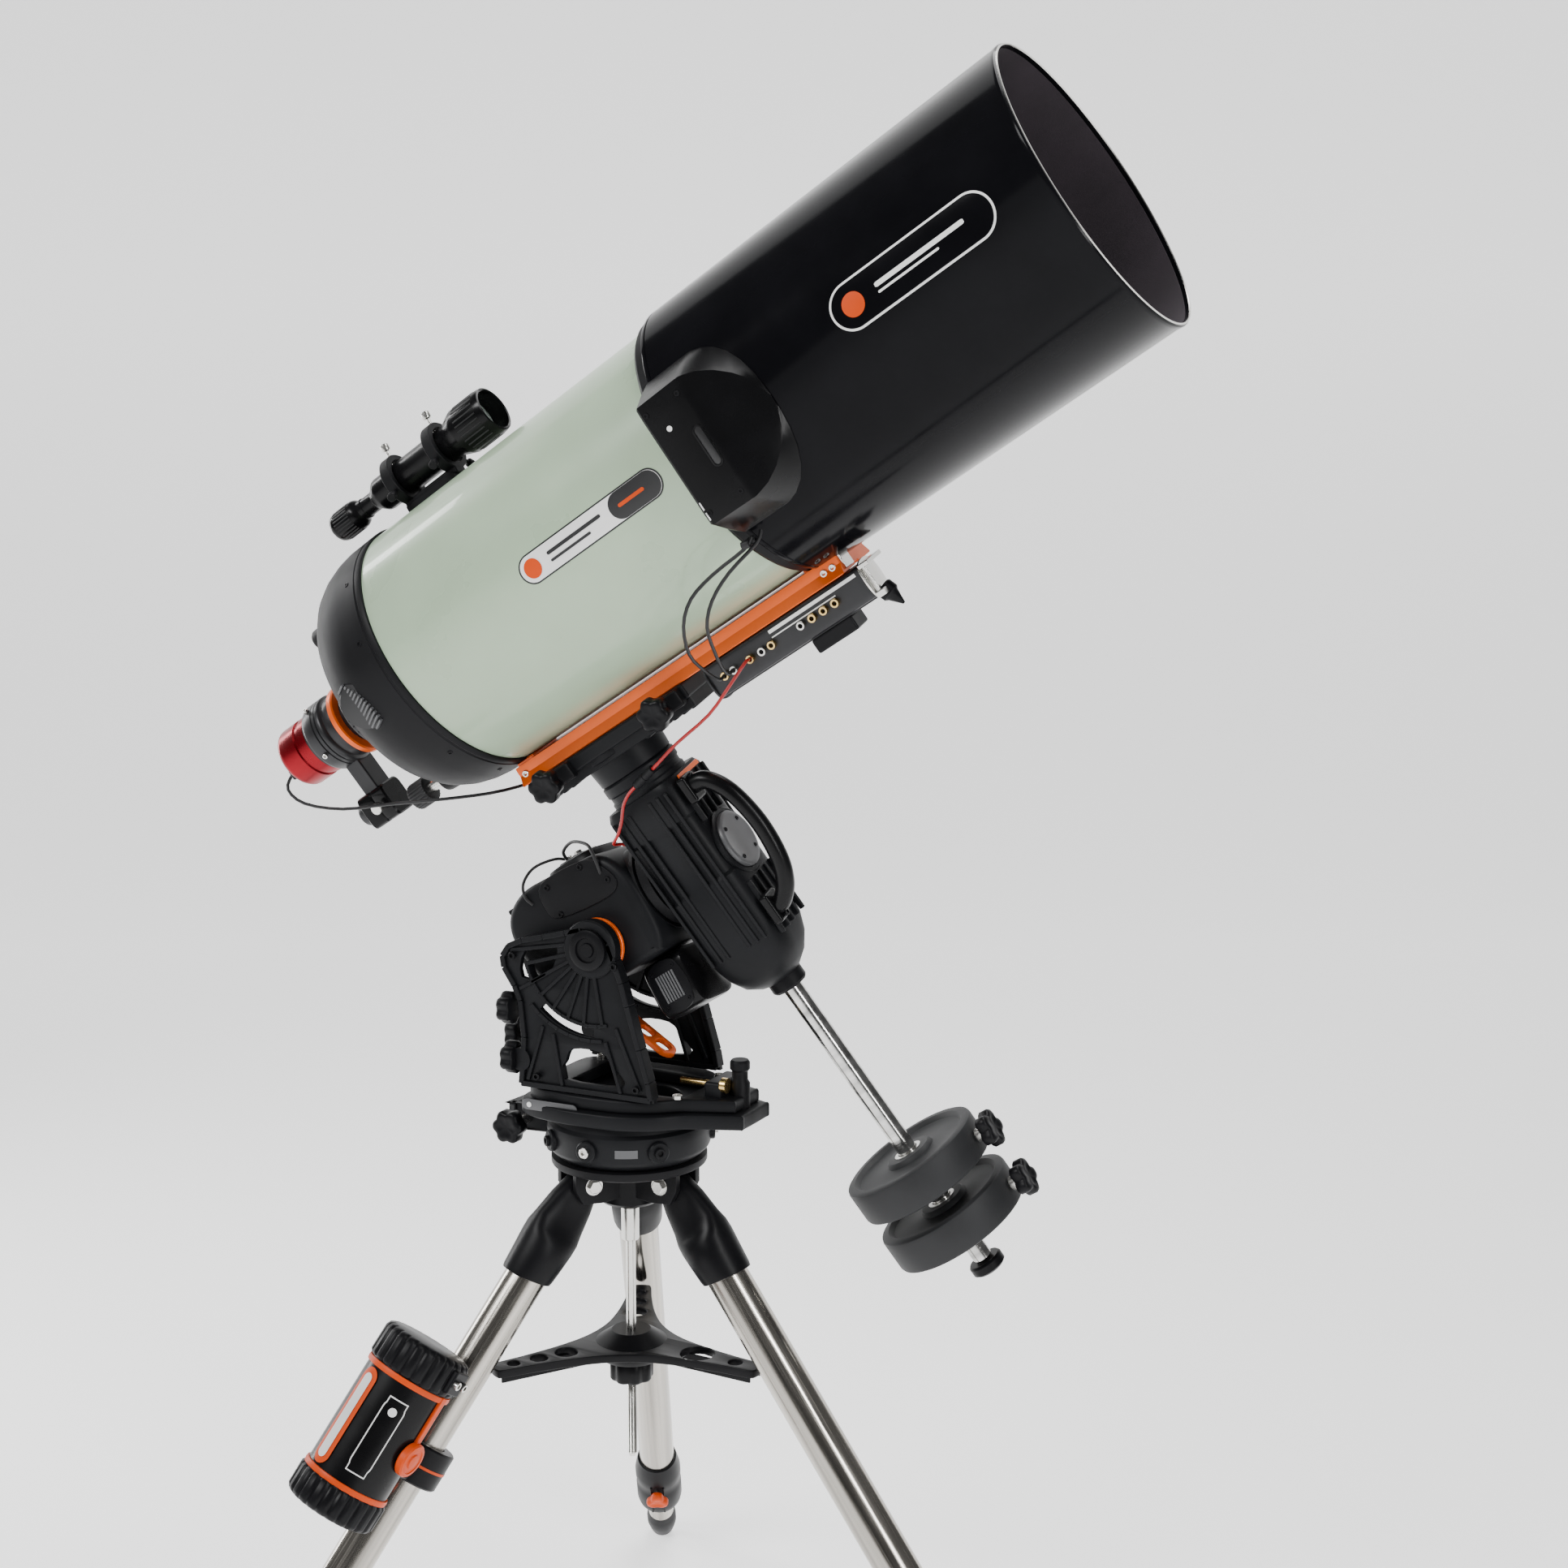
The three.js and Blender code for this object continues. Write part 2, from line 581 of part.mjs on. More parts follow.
place(mount, 'altitude_knob', join(starKnob(22, 18, 6, 7, 0), rod(6, -60, 2, 12)), blackPlastic, [-150, 0, 130], [0, -90, 0]);
place(mount, 'altitude_link', altitudeLink(), orange, [24, 0, 150], [0, 32, 0]);

const polar = frame(mount, [0, 0, pivotHeight], [0, 90 - latitude, 0]);
place(polar, 'altitude_axle', altitudeAxle(), orange);
place(polar, 'ra_housing', raHousing(), blackCast);
place(polar, 'ra_motor_cover', raMotorCover(), blackPlastic);

const dec = frame(polar, [raOffset, 0, raToDec], [0, 0, hourAngle]);
place(dec, 'dec_housing', decHousing(), blackCast);
place(dec, 'axis_cover', axisCover(), blackPlastic);
place(dec, 'carry_handle', carryHandle(), blackPlastic);
place(dec, 'counterweight_shaft', counterweightShaft(), steel);
weightStart.forEach((x, i) => {
  const weight = frame(dec, [x, 0, 0], [0, 90, 0]);
  place(weight, `counterweight_${i + 1}`, counterweight(), iron);
  place(weight, `counterweight_knob_${i + 1}`, counterweightKnob(), blackPlastic, [-weightR - 12, 0, weightThick / 2], [0, -90, 0]);
});
place(dec, 'toe_saver', toeSaver(), blackPlastic, [590.3, 0, 0], [0, 90, 0]);

const scope = frame(dec);
place(scope, 'saddle', saddle(), blackCast);
[-62, 108].forEach((z, i) => {
  place(scope, `saddle_knob_${i + 1}`, saddleKnob(), blackPlastic, [saddleTop + 11, -82, z], [90, 0, 0]);
});
place(scope, 'dovetail_bar', dovetailBar(), orange);
place(scope, 'power_controller', powerController(), blackPlastic);
const optics = frame(scope, [tubeAxis, 0, 0]);
place(optics, 'main_tube', mainTube(), sage);
place(optics, 'rear_cell', rearCell(), blackCast);
place(optics, 'front_cell', frontCell(), blackCast);
place(optics, 'corrector_plate', correctorPlate(), glass);
place(optics, 'secondary_housing', secondaryHousing(), blackPlastic);
place(optics, 'primary_mirror', primaryMirror(), silver);
place(optics, 'baffle_tube', baffleTube(), blackPlastic);
place(optics, 'dew_shield', dewShield(), glossBlack);
place(optics, 'heater_housing', heaterHousing(), blackPlastic, [0, 0, 0], [0, 0, -3]);
place(optics, 'focus_knob', focusKnob(), rubber, [120, -20, -264]);
place(optics, 'visual_back', visualBack(), blackPlastic);
place(optics, 'imaging_camera', imagingCamera(), red);
const finder = frame(optics, [-196, 44, 0]);
place(finder, 'finder_tube', finderTube(), blackPlastic);
place(finder, 'finder_bracket', finderBracket(), blackPlastic, [0, 0, 0], [0, 0, -13]);
dewLeads.forEach((route, i) => place(scope, `dew_lead_${i + 1}`, cord(route, 2, 28), rubber));
place(scope, 'camera_lead', cord(cameraRoute, 3, 44), rubber);
place(scope, 'power_cable', cord(powerRoute, 2.5, 20), redWire);

// The frame's origin is on the floor, under the middle of the object's box.
telescope.updateMatrixWorld(true);
const box = new THREE.Box3();
const cords = ['dew_lead_1', 'dew_lead_2', 'camera_lead', 'power_cable'];
telescope.traverse((part) => {
  if (part.isMesh && !cords.includes(part.name)) box.expandByObject(part, true);
});
telescope.position.set(-(box.min.x + box.max.x) / 2, -(box.min.y + box.max.y) / 2, -box.min.z);
telescope.updateMatrixWorld(true);

export default telescope;
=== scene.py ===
"""Looks for a Schmidt-Cassegrain telescope on an equatorial mount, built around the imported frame.

Shapes are written in millimetres inside the local frames of the mount (leg, polar, Dec, optics) and
are placed in the frame's metres by MM.
"""
import math

import bmesh
import bpy
from mathutils import Matrix, Vector


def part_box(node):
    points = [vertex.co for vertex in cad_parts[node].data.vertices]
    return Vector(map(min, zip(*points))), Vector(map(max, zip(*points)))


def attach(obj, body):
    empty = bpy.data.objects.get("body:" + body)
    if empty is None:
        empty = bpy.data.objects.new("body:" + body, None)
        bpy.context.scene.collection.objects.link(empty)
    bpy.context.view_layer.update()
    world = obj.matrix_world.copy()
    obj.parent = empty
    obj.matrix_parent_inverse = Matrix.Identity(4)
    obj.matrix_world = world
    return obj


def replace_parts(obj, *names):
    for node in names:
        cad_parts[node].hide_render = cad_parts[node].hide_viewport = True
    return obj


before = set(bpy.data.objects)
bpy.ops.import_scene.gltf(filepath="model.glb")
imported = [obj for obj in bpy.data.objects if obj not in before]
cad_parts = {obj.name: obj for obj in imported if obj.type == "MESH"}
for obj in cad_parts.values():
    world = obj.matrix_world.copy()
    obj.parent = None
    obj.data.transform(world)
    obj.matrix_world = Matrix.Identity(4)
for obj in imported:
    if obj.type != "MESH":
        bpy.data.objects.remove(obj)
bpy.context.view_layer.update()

# ---------------------------------------------------------------- driving dimensions
# Lengths are in millimetres and angles in degrees.
MM = 0.001
LATITUDE = 32.1
HOUR_ANGLE = 14
TRIPOD_TURN = -3.8
LEG_SLOPE = 36.5
TUBE_AXIS = -371
TUBE_R = 156
SHIELD_R = 166
BAR_TOP = TUBE_AXIS + 158
SADDLE_TOP = BAR_TOP + 23.3
WEIGHT_START = (428, 500)
WEIGHT_THICK = 44
AZIMUTH_LEVER = -124
PLATE_MID = 82
PIVOT_HEIGHT = 267
VENT_ANGLES = (-91, 89)


def turn(axis, degrees):
    return Matrix.Rotation(math.radians(degrees), 4, axis)


def move(x, y, z):
    return Matrix.Translation((x * MM, y * MM, z * MM))


rod_low, rod_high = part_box("centre_rod")
HEAD = Matrix.Translation(((rod_low[0] + rod_high[0]) / 2, (rod_low[1] + rod_high[1]) / 2,
                           rod_high[2] - 14 * MM))
TRIPOD = HEAD @ turn("Z", TRIPOD_TURN)
LEGS = [TRIPOD @ turn("Z", 120 * i) @ move(61, 0, -28) @ turn("Y", -LEG_SLOPE) for i in range(3)]
STRAP = LEGS[2] @ move(0, 0, -398) @ turn("Z", 32)
TANK = STRAP @ move(114, 0, -60)
POLAR = HEAD @ move(0, 0, PIVOT_HEIGHT) @ turn("Y", 90 - LATITUDE)
DEC = POLAR @ move(-30, 0, 141) @ turn("Z", HOUR_ANGLE)
WEIGHTS = [DEC @ move(x, 0, 0) @ turn("Y", 90) for x in WEIGHT_START]
OPTICS = DEC @ move(TUBE_AXIS, 0, 0)
FINDER = OPTICS @ move(-196, 44, 0)


# ---------------------------------------------------------------- materials
def new_material(name, color, roughness, metallic=0.0):
    mat = bpy.data.materials.new(name)
    mat.use_nodes = True
    shader = mat.node_tree.nodes["Principled BSDF"]
    shader.inputs["Base Color"].default_value = (*color, 1)
    shader.inputs["Roughness"].default_value = roughness
    shader.inputs["Metallic"].default_value = metallic
    return mat, mat.node_tree, shader


def add_noise(tree, scale, stretch=(1, 1, 1), detail=4.0):
    coords = tree.nodes.new("ShaderNodeTexCoord")
    mapping = tree.nodes.new("ShaderNodeMapping")
    mapping.inputs["Scale"].default_value = stretch
    noise = tree.nodes.new("ShaderNodeTexNoise")
    noise.inputs["Scale"].default_value = scale
    noise.inputs["Detail"].default_value = detail
    tree.links.new(coords.outputs["Object"], mapping.inputs["Vector"])
    tree.links.new(mapping.outputs["Vector"], noise.inputs["Vector"])
    return noise


def spread(tree, source, low, high):
    """Maps a 0.3 to 0.7 noise onto low to high."""
    ramp = tree.nodes.new("ShaderNodeMapRange")
    ramp.inputs["From Min"].default_value = 0.3
    ramp.inputs["From Max"].default_value = 0.7
    ramp.inputs["To Min"].default_value = low
    ramp.inputs["To Max"].default_value = high
    tree.links.new(source, ramp.inputs["Value"])
    return ramp.outputs["Result"]


def add_bump(tree, shader, height, strength, distance):
    bump = tree.nodes.new("ShaderNodeBump")
    bump.inputs["Strength"].default_value = strength
    bump.inputs["Distance"].default_value = distance
    tree.links.new(height, bump.inputs["Height"])
    tree.links.new(bump.outputs["Normal"], shader.inputs["Normal"])


def tint(tree, shader, source, dark, light):
    """Varies the base colour between two close shades."""
    ramp = tree.nodes.new("ShaderNodeValToRGB")
    ramp.color_ramp.elements[0].position = 0.3
    ramp.color_ramp.elements[0].color = (*dark, 1)
    ramp.color_ramp.elements[1].position = 0.7
    ramp.color_ramp.elements[1].color = (*light, 1)
    tree.links.new(source, ramp.inputs["Fac"])
    tree.links.new(ramp.outputs["Color"], shader.inputs["Base Color"])


def surface(name, color, roughness, metallic=0.0, grain=900, grain_depth=0.00004, strength=0.35,
            shade=0.8, wander=0.06, coat=0.0, stretch=(1, 1, 1), shine=0.5):
    """Painted, moulded or cast surface: fine grain in the normal, slow drift in colour and roughness."""
    mat, tree, shader = new_material(name, color, roughness, metallic)
    slow = add_noise(tree, 14, stretch)
    tint(tree, shader, slow.outputs["Fac"], tuple(c * shade for c in color),
         tuple(min(1, c * (2 - shade)) for c in color))
    tree.links.new(spread(tree, slow.outputs["Fac"], roughness - wander, roughness + wander),
                   shader.inputs["Roughness"])
    fine = add_noise(tree, grain, stretch, 3.0)
    add_bump(tree, shader, fine.outputs["Fac"], strength, grain_depth)
    shader.inputs["Specular IOR Level"].default_value = shine
    shader.inputs["Coat Weight"].default_value = coat
    shader.inputs["Coat Roughness"].default_value = 0.04
    return mat


def drawn_metal(name, color, roughness, along=(1, 1, 0.02)):
    """Metal with fine streaks along its local Z."""
    mat, tree, shader = new_material(name, color, roughness, 1.0)
    streak = add_noise(tree, 420, along, 5.0)
    broad = add_noise(tree, 60, along, 2.0)
    tint(tree, shader, broad.outputs["Fac"], tuple(c * 0.45 for c in color), color)
    tree.links.new(spread(tree, streak.outputs["Fac"], roughness - 0.08, roughness + 0.1),
                   shader.inputs["Roughness"])
    add_bump(tree, shader, streak.outputs["Fac"], 0.12, 0.00003)
    return mat


def clear_glass():
    mat, tree, shader = new_material("corrector_coating", (0.80, 0.88, 0.86), 0.03)
    shader.inputs["Alpha"].default_value = 0.22
    shader.inputs["IOR"].default_value = 1.5
    haze = add_noise(tree, 25)
    tree.links.new(spread(tree, haze.outputs["Fac"], 0.02, 0.06), shader.inputs["Roughness"])
    return mat


GLOSS = surface("shield_gloss_paint", (0.004, 0.004, 0.005), 0.13, grain=300, strength=0.05, wander=0.03,
                shine=0.07)
FLOCK = surface("shield_flocking", (0.035, 0.028, 0.034), 0.85, shine=0.3, grain=1600, grain_depth=0.0003,
                strength=0.6)
SAGE = surface("sage_paint", (0.36, 0.47, 0.33), 0.30, grain=700, strength=0.08, shade=0.97, coat=0.35,
               wander=0.04)
MATTE = surface("matte_black_paint", (0.006, 0.006, 0.007), 0.50, shine=0.14, grain=1300, strength=0.30)
CAST = surface("mount_casting_paint", (0.007, 0.0073, 0.0085), 0.45, shine=0.14, grain=1000, strength=0.42)
GREY = surface("cover_grey_paint", (0.085, 0.086, 0.09), 0.42, grain=900, strength=0.25)
PLASTIC = surface("moulded_black", (0.005, 0.005, 0.006), 0.38, shine=0.14, grain=800, strength=0.22)
SATIN = surface("satin_black_abs", (0.004, 0.004, 0.0045), 0.27, shine=0.16, grain=600, strength=0.12)
ANODISED = surface("black_anodised", (0.020, 0.020, 0.022), 0.36, 0.4, grain=1500, strength=0.15)
ORANGE = surface("orange_anodised_aluminium", (0.84, 0.115, 0.003), 0.34, 0.25, grain=500, strength=0.10,
                 shade=0.93, stretch=(1, 1, 0.05))
ORANGE_PLASTIC = surface("orange_moulding", (0.60, 0.055, 0.0005), 0.42, grain=700, strength=0.15,
                         shade=0.92, shine=0.2)
RED = surface("red_anodised_aluminium", (0.26, 0.003, 0.010), 0.30, 0.75, grain=900, strength=0.10,
              shade=0.85)
IRON = surface("counterweight_paint", (0.017, 0.0175, 0.019), 0.55, shine=0.3, grain=420,
               grain_depth=0.00012, strength=0.5)
RUBBER = surface("cable_rubber", (0.014, 0.014, 0.015), 0.48, shine=0.3, grain=1200, strength=0.15)
RED_WIRE = surface("red_wire_jacket", (0.34, 0.006, 0.008), 0.38, grain=1200, strength=0.12)
WHITE = surface("printed_white", (0.80, 0.80, 0.79), 0.40, grain=1500, strength=0.08, shade=0.96)
# Black for the printed labels, also used as painted shade in the rear cell's vent openings and in the heater
# slot.
BLACK_PRINT_AND_PAINTED_SHADE = surface("black_print_and_painted_shade", (0.012, 0.012, 0.013), 0.35, grain=1500, strength=0.08)
LENS_WHITE = surface("lamp_diffuser", (0.72, 0.73, 0.72), 0.30, grain=500, strength=0.2, shade=0.9)
STEEL = drawn_metal("drawn_stainless", (0.66, 0.62, 0.56), 0.20)
SHAFT = drawn_metal("polished_shaft", (0.80, 0.79, 0.77), 0.14, (0.02, 1, 1))
ZINC = surface("bright_zinc", (0.70, 0.69, 0.66), 0.24, 1.0, grain=700, strength=0.12, shade=0.85)
BRASS = surface("brass", (0.80, 0.56, 0.22), 0.26, 1.0, grain=700, strength=0.10, shade=0.85)
MIRROR = surface("mirror_coating", (0.92, 0.93, 0.94), 0.05, 1.0, grain=200, strength=0.01, shade=0.98,
                 wander=0.02)
GLASS = clear_glass()


# ---------------------------------------------------------------- mesh helpers
def mark_sharp(bm, degrees):
    for face in bm.faces:
        face.smooth = True
    for edge in bm.edges:
        if len(edge.link_faces) == 2:
            edge.smooth = edge.calc_face_angle(0) < math.radians(degrees)


def finish_mesh(name, bm, place, mat, body, sharp=32):
    bmesh.ops.remove_doubles(bm, verts=bm.verts, dist=1e-7)
    bmesh.ops.recalc_face_normals(bm, faces=bm.faces)
    mark_sharp(bm, sharp)
    mesh = bpy.data.meshes.new(name)
    bm.to_mesh(mesh)
    bm.free()
    mesh.materials.append(mat)
    piece = bpy.data.objects.new(name, mesh)
    bpy.context.scene.collection.objects.link(piece)
    piece.matrix_world = place
    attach(piece, body)
    return piece


def ring_loft(bm, rings, caps=True):
    """Skins closed rings of equal length; each ring is a list of points in millimetres."""
    loops = [[bm.verts.new(Vector(p) * MM) for p in ring] for ring in rings]
    count = len(loops[0])
    for low, high in zip(loops, loops[1:]):
        for i in range(count):
            bm.faces.new((low[i], low[(i + 1) % count], high[(i + 1) % count], high[i]))
    if caps:
        bm.faces.new(loops[0])
        bm.faces.new(loops[-1])


def circle(radius, z, sides, phase=0.0):
    step = 2 * math.pi / sides
    return [(radius * math.cos(i * step + phase), radius * math.sin(i * step + phase), z)
            for i in range(sides)]


def lathe(name, profile, place, mat, body, sides=96, closed=False):
    """Solid of revolution about local Z from (radius, height) pairs; closed makes a hollow ring."""
    bm = bmesh.new()
    rings = [circle(max(r, 0.01), z, sides) for r, z in profile]
    if closed:
        rings.append(circle(max(profile[0][0], 0.01), profile[0][1], sides))
    ring_loft(bm, rings, caps=not closed)
    return finish_mesh(name, bm, place, mat, body)


def soften(piece, width, segments=3, degrees=35):
    """Rounds a piece's hard edges."""
    bevel = piece.modifiers.new("edge", "BEVEL")
    bevel.width = width * MM
    bevel.segments = segments
    bevel.limit_method = "ANGLE"
    bevel.angle_limit = math.radians(degrees)
    bevel.harden_normals = True
    return piece


def blocks(name, corners, place, mat, body, edge=1.0):
    """Boxes given as (x0, x1, y0, y1, z0, z1), in one piece with rounded edges."""
    bm = bmesh.new()
    for x0, x1, y0, y1, z0, z1 in corners:
        low = [(x0, y0, z0), (x1, y0, z0), (x1, y1, z0), (x0, y1, z0)]
        ring_loft(bm, [low, [(x, y, z1) for x, y, _ in low]])
    return soften(finish_mesh(name, bm, place, mat, body), edge)


def bars(name, lines, width, y0, y1, place, mat, body, edge=0.8):
    """Straight ribs in the XZ plane from (x, z) to (x, z), from y0 to y1."""
    bm = bmesh.new()
    for (xa, za), (xb, zb) in lines:
        length = math.hypot(xb - xa, zb - za)
        nx, nz = (zb - za) / length * width / 2, -(xb - xa) / length * width / 2
        ring = [(xa + nx, y0, za + nz), (xb + nx, y0, zb + nz), (xb - nx, y0, zb - nz),
                (xa - nx, y0, za - nz)]
        ring_loft(bm, [ring, [(x, y1, z) for x, _, z in ring]])
    return soften(finish_mesh(name, bm, place, mat, body), edge, 2)


def plate(name, loops, z0, z1, place, mat, body, edge=1.0):
    """Flat plate with holes: closed outlines in local X and Y, rounded edges, from z0 to z1."""
    curve = bpy.data.curves.new(name, "CURVE")
    curve.dimensions = "2D"
    curve.fill_mode = "BOTH"
    curve.extrude = ((z1 - z0) / 2 - edge) * MM
    curve.bevel_depth = edge * MM
    curve.bevel_resolution = 2
    curve.offset = -edge * MM
    for loop in loops:
        spline = curve.splines.new("POLY")
        spline.points.add(len(loop) - 1)
        for point, (x, y) in zip(spline.points, loop):
            point.co = (x * MM, y * MM, 0, 1)
        spline.use_cyclic_u = True
    shape = bpy.data.objects.new(name + "_shape", curve)
    mesh = bpy.data.meshes.new_from_object(shape)
    bm = bmesh.new()
    bm.from_mesh(mesh)
    bpy.data.objects.remove(shape)
    bmesh.ops.translate(bm, vec=(0, 0, (z0 + z1) / 2 * MM), verts=bm.verts)
    return finish_mesh(name, bm, place, mat, body, 40)


def arc(radius, cx=0, cy=0, start=0, end=360, steps=40):
    whole = abs(end - start) >= 360
    count = steps if whole else steps + 1
    angles = [math.radians(start + (end - start) * i / steps) for i in range(count)]
    return [(cx + radius * math.cos(a), cy + radius * math.sin(a)) for a in angles]


def pill(length, width, cx=0, cy=0, steps=14):
    """Stadium outline along local X."""
    r, half = width / 2, length / 2 - width / 2
    return arc(r, cx + half, cy, -90, 90, steps) + arc(r, cx - half, cy, 90, 270, steps)


def on_spline(a, b, c, d, t):
    """Point at t between b and c, on the smooth curve through a, b, c and d."""
    return 0.5 * ((2 * b) + (c - a) * t + (2 * a - 5 * b + 4 * c - d) * t * t
                  + (3 * b - a - 3 * c + d) * t ** 3)


def curved(points, steps=6):
    """Closed outline smoothed through its corner points."""
    out = []
    count = len(points)
    for i in range(count):
        a, b, c, d = (Vector(points[(i + k) % count]) for k in (-1, 0, 1, 2))
        out += [tuple(on_spline(a, b, c, d, s / steps)) for s in range(steps)]
    return out


def superellipse(half_w, half_h, power, centre=(0, 0), sides=64):
    """Rounded-rectangle ring in two coordinates; a power of 2 is an ellipse."""
    ring = []
    for i in range(sides):
        a = 2 * math.pi * i / sides
        c, s = math.cos(a), math.sin(a)
        ring.append((centre[0] + half_w * math.copysign(abs(c) ** (2 / power), c),
                     centre[1] + half_h * math.copysign(abs(s) ** (2 / power), s)))
    return ring


def loft_x(name, sections, place, mat, body):
    """Body along local X from (x, half y, half z, power, centre y, centre z) sections."""
    bm = bmesh.new()
    rings = []
    for x, hy, hz, power, cy, cz in sections:
        rings.append([(x, y, z) for y, z in superellipse(hy, hz, power, (cy, cz))])
    ring_loft(bm, rings)
    return finish_mesh(name, bm, place, mat, body, 38)


def rounded_stack(name, layers, power, centre, place, mat, body, sharp=30, sides=72):
    """Rounded box along local Z from (z, half x, half y) layers."""
    bm = bmesh.new()
    rings = []
    for z, half_x, half_y in layers:
        rings.append([(x, y, z) for x, y in superellipse(half_x, half_y, power, centre, sides)])
    ring_loft(bm, rings)
    return finish_mesh(name, bm, place, mat, body, sharp)


def wavy_ring(z, sides, radius_at):
    """Ring at height z whose radius is radius_at(angle)."""
    angles = [2 * math.pi * i / sides for i in range(sides)]
    return [(radius_at(a) * math.cos(a), radius_at(a) * math.sin(a), z) for a in angles]


def star_knob(name, radius, thick, lobes, place, mat, body, depth=0.16):
    """Domed hand knob with round lobes, its base on local Z = 0."""
    def dip(a):
        return 1 - depth * (0.5 - 0.5 * math.cos(a * lobes)) ** 1.5

    bm = bmesh.new()
    levels = ((0, 0.80), (0.8, 0.93), (2.5, 1.0), (thick - 4, 1.0), (thick - 1.5, 0.94),
              (thick - 0.3, 0.82), (thick, 0.62), (thick - 1.2, 0.46), (thick - 1.2, 0.05))
    ring_loft(bm, [wavy_ring(z, lobes * 14, lambda a: radius * scale * dip(a)) for z, scale in levels])
    return finish_mesh(name, bm, place, mat, body, 50)


def hex_bolts(name, spots, size, height, place, mat, body):
    """Hexagon bolt heads standing on local Z, at (x, y, z)."""
    bm = bmesh.new()
    for x, y, z in spots:
        rings = [[(x + px, y + py, z + pz) for px, py, pz in circle(r, h, 6)]
                 for r, h in ((size, 0), (size, height - 0.8), (size * 0.88, height))]
        ring_loft(bm, rings)
    return finish_mesh(name, bm, place, mat, body)


def socket_screws(name, spots, radius, height, place, mat, body):
    """Cap screws with a hexagon recess, standing on local Z, at (x, y, z)."""
    bm = bmesh.new()
    for x, y, z in spots:
        shape = ((radius * 0.95, 0), (radius, 0.4), (radius, height - 0.5), (radius * 0.9, height),
                 (radius * 0.55, height), (radius * 0.5, height * 0.35), (0.02, height * 0.3))
        rings = [[(x + px, y + py, z + pz) for px, py, pz in circle(r, h, 12)] for r, h in shape]
        ring_loft(bm, rings)
    return finish_mesh(name, bm, place, mat, body)


def smooth_path(points, steps=8):
    """Points on a smooth curve through the given points, in millimetres."""
    out = []
    ends = [points[0]] + list(points) + [points[-1]]
    for i in range(1, len(ends) - 2):
        a, b, c, d = (Vector(ends[i + k]) for k in (-1, 0, 1, 2))
        out += [on_spline(a, b, c, d, s / steps) for s in range(steps)]
    out.append(Vector(points[-1]))
    return out


def wire(name, points, radius, place, mat, body, steps=6):
    """Round wire or bar along points, as a curve."""
    curve = bpy.data.curves.new(name, "CURVE")
    curve.dimensions = "3D"
    curve.bevel_depth = radius * MM
    curve.bevel_resolution = 4
    curve.use_fill_caps = True
    path = smooth_path(points, steps)
    spline = curve.splines.new("POLY")
    spline.points.add(len(path) - 1)
    for point, p in zip(spline.points, path):
        point.co = (*(place @ (p * MM)), 1)
    spline.use_smooth = True
    curve.materials.append(mat)
    piece = bpy.data.objects.new(name, curve)
    bpy.context.scene.collection.objects.link(piece)
    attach(piece, body)
    return piece


def wrapped(name, radius, angle, z0, z1, width, lift, place, mat, body, square=0.0):
    """Thin pill-shaped sheet wrapped on a cylinder, for print, lamp parts and painted shade; square keeps
    that share of the end width.
    """
    bm = bmesh.new()
    rows, cols = 60, 14
    r = width / 2
    grid = []
    for i in range(rows + 1):
        t = 0.5 - 0.5 * math.cos(math.pi * i / rows)
        z = z0 + (z1 - z0) * t
        into = min(z - z0, z1 - z)
        half = r if into >= r else math.sqrt(max(r * r - (r - into) ** 2, 0))
        half = max(half, r * square, 0.05)
        row = []
        for j in range(cols + 1):
            a = math.radians(angle) + (-half + 2 * half * j / cols) / radius
            row.append(bm.verts.new(Vector(((radius + lift) * math.cos(a), (radius + lift) * math.sin(a),
                                            z)) * MM))
        grid.append(row)
    for low, high in zip(grid, grid[1:]):
        for j in range(cols):
            bm.faces.new((low[j], low[j + 1], high[j + 1], high[j]))
    return finish_mesh(name, bm, place, mat, body)


def around(place, radius, angle, z, tilt=0):
    """Frame on a cylinder's wall: Z outward, X along the cylinder, Y round it."""
    return place @ turn("Z", angle) @ move(radius, 0, z) @ turn("Y", 90) @ turn("Z", 180 + tilt)


# ---------------------------------------------------------------- tripod
def tripod_top():
    disc = [(20, -12), (90, -12), (94, -10), (95, -8), (95, -1), (93, 0), (20, 0)]
    head = lathe("tripod_top", disc, TRIPOD, MATTE, "stand")
    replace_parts(head, "tripod_head")
    lathe("tripod_hub", [(12, -62), (34, -62), (38, -58), (38, -10), (12, -10)], TRIPOD, PLASTIC, "stand")
    for i in range(3):
        side = TRIPOD @ turn("Z", 120 * i) @ move(61, 0, -28)
        for sign in (-1, 1):
            y = 22 * sign
            outline = [(-37, 18), (23, 18), (23, -4), (14, -21), (-14, -23), (-37, -20)]
            lug = side @ move(0, y, 0) @ turn("X", 90)
            plate(f"head_lug_{i + 1}_{'ab'[sign > 0]}", [outline], -5, 5, lug, MATTE, "stand")
            hex_bolts(f"hinge_bolt_{i + 1}_{'ab'[sign > 0]}", [(0, 0, 0)], 8.5, 6.5,
                      side @ move(0, 27 * sign, 0) @ turn("X", -90 * sign), ZINC, "stand")
            lathe(f"hinge_washer_{i + 1}_{'ab'[sign > 0]}", [(2, 0), (11, 0), (11, 1.4), (2, 1.4)],
                  side @ move(0, 26.8 * sign, 0) @ turn("X", -90 * sign), ZINC, "stand", 32)


def centre_rod():
    threads = []
    for i in range(78):
        z = -388 + i * 2
        threads += [(5.1, z), (6, z + 0.8)]
    profile = [(4.4, -392)] + threads + [(6, -228), (6, -113), (10, -112), (11, -110), (11, -71), (10, -70),
                                         (6, -69)]
    rod = lathe("centre_rod_steel", profile + [(6, -64), (10.5, -63), (10.5, 13), (9, 14)], TRIPOD, ZINC,
                "stand", 40)
    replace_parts(rod, "centre_rod")


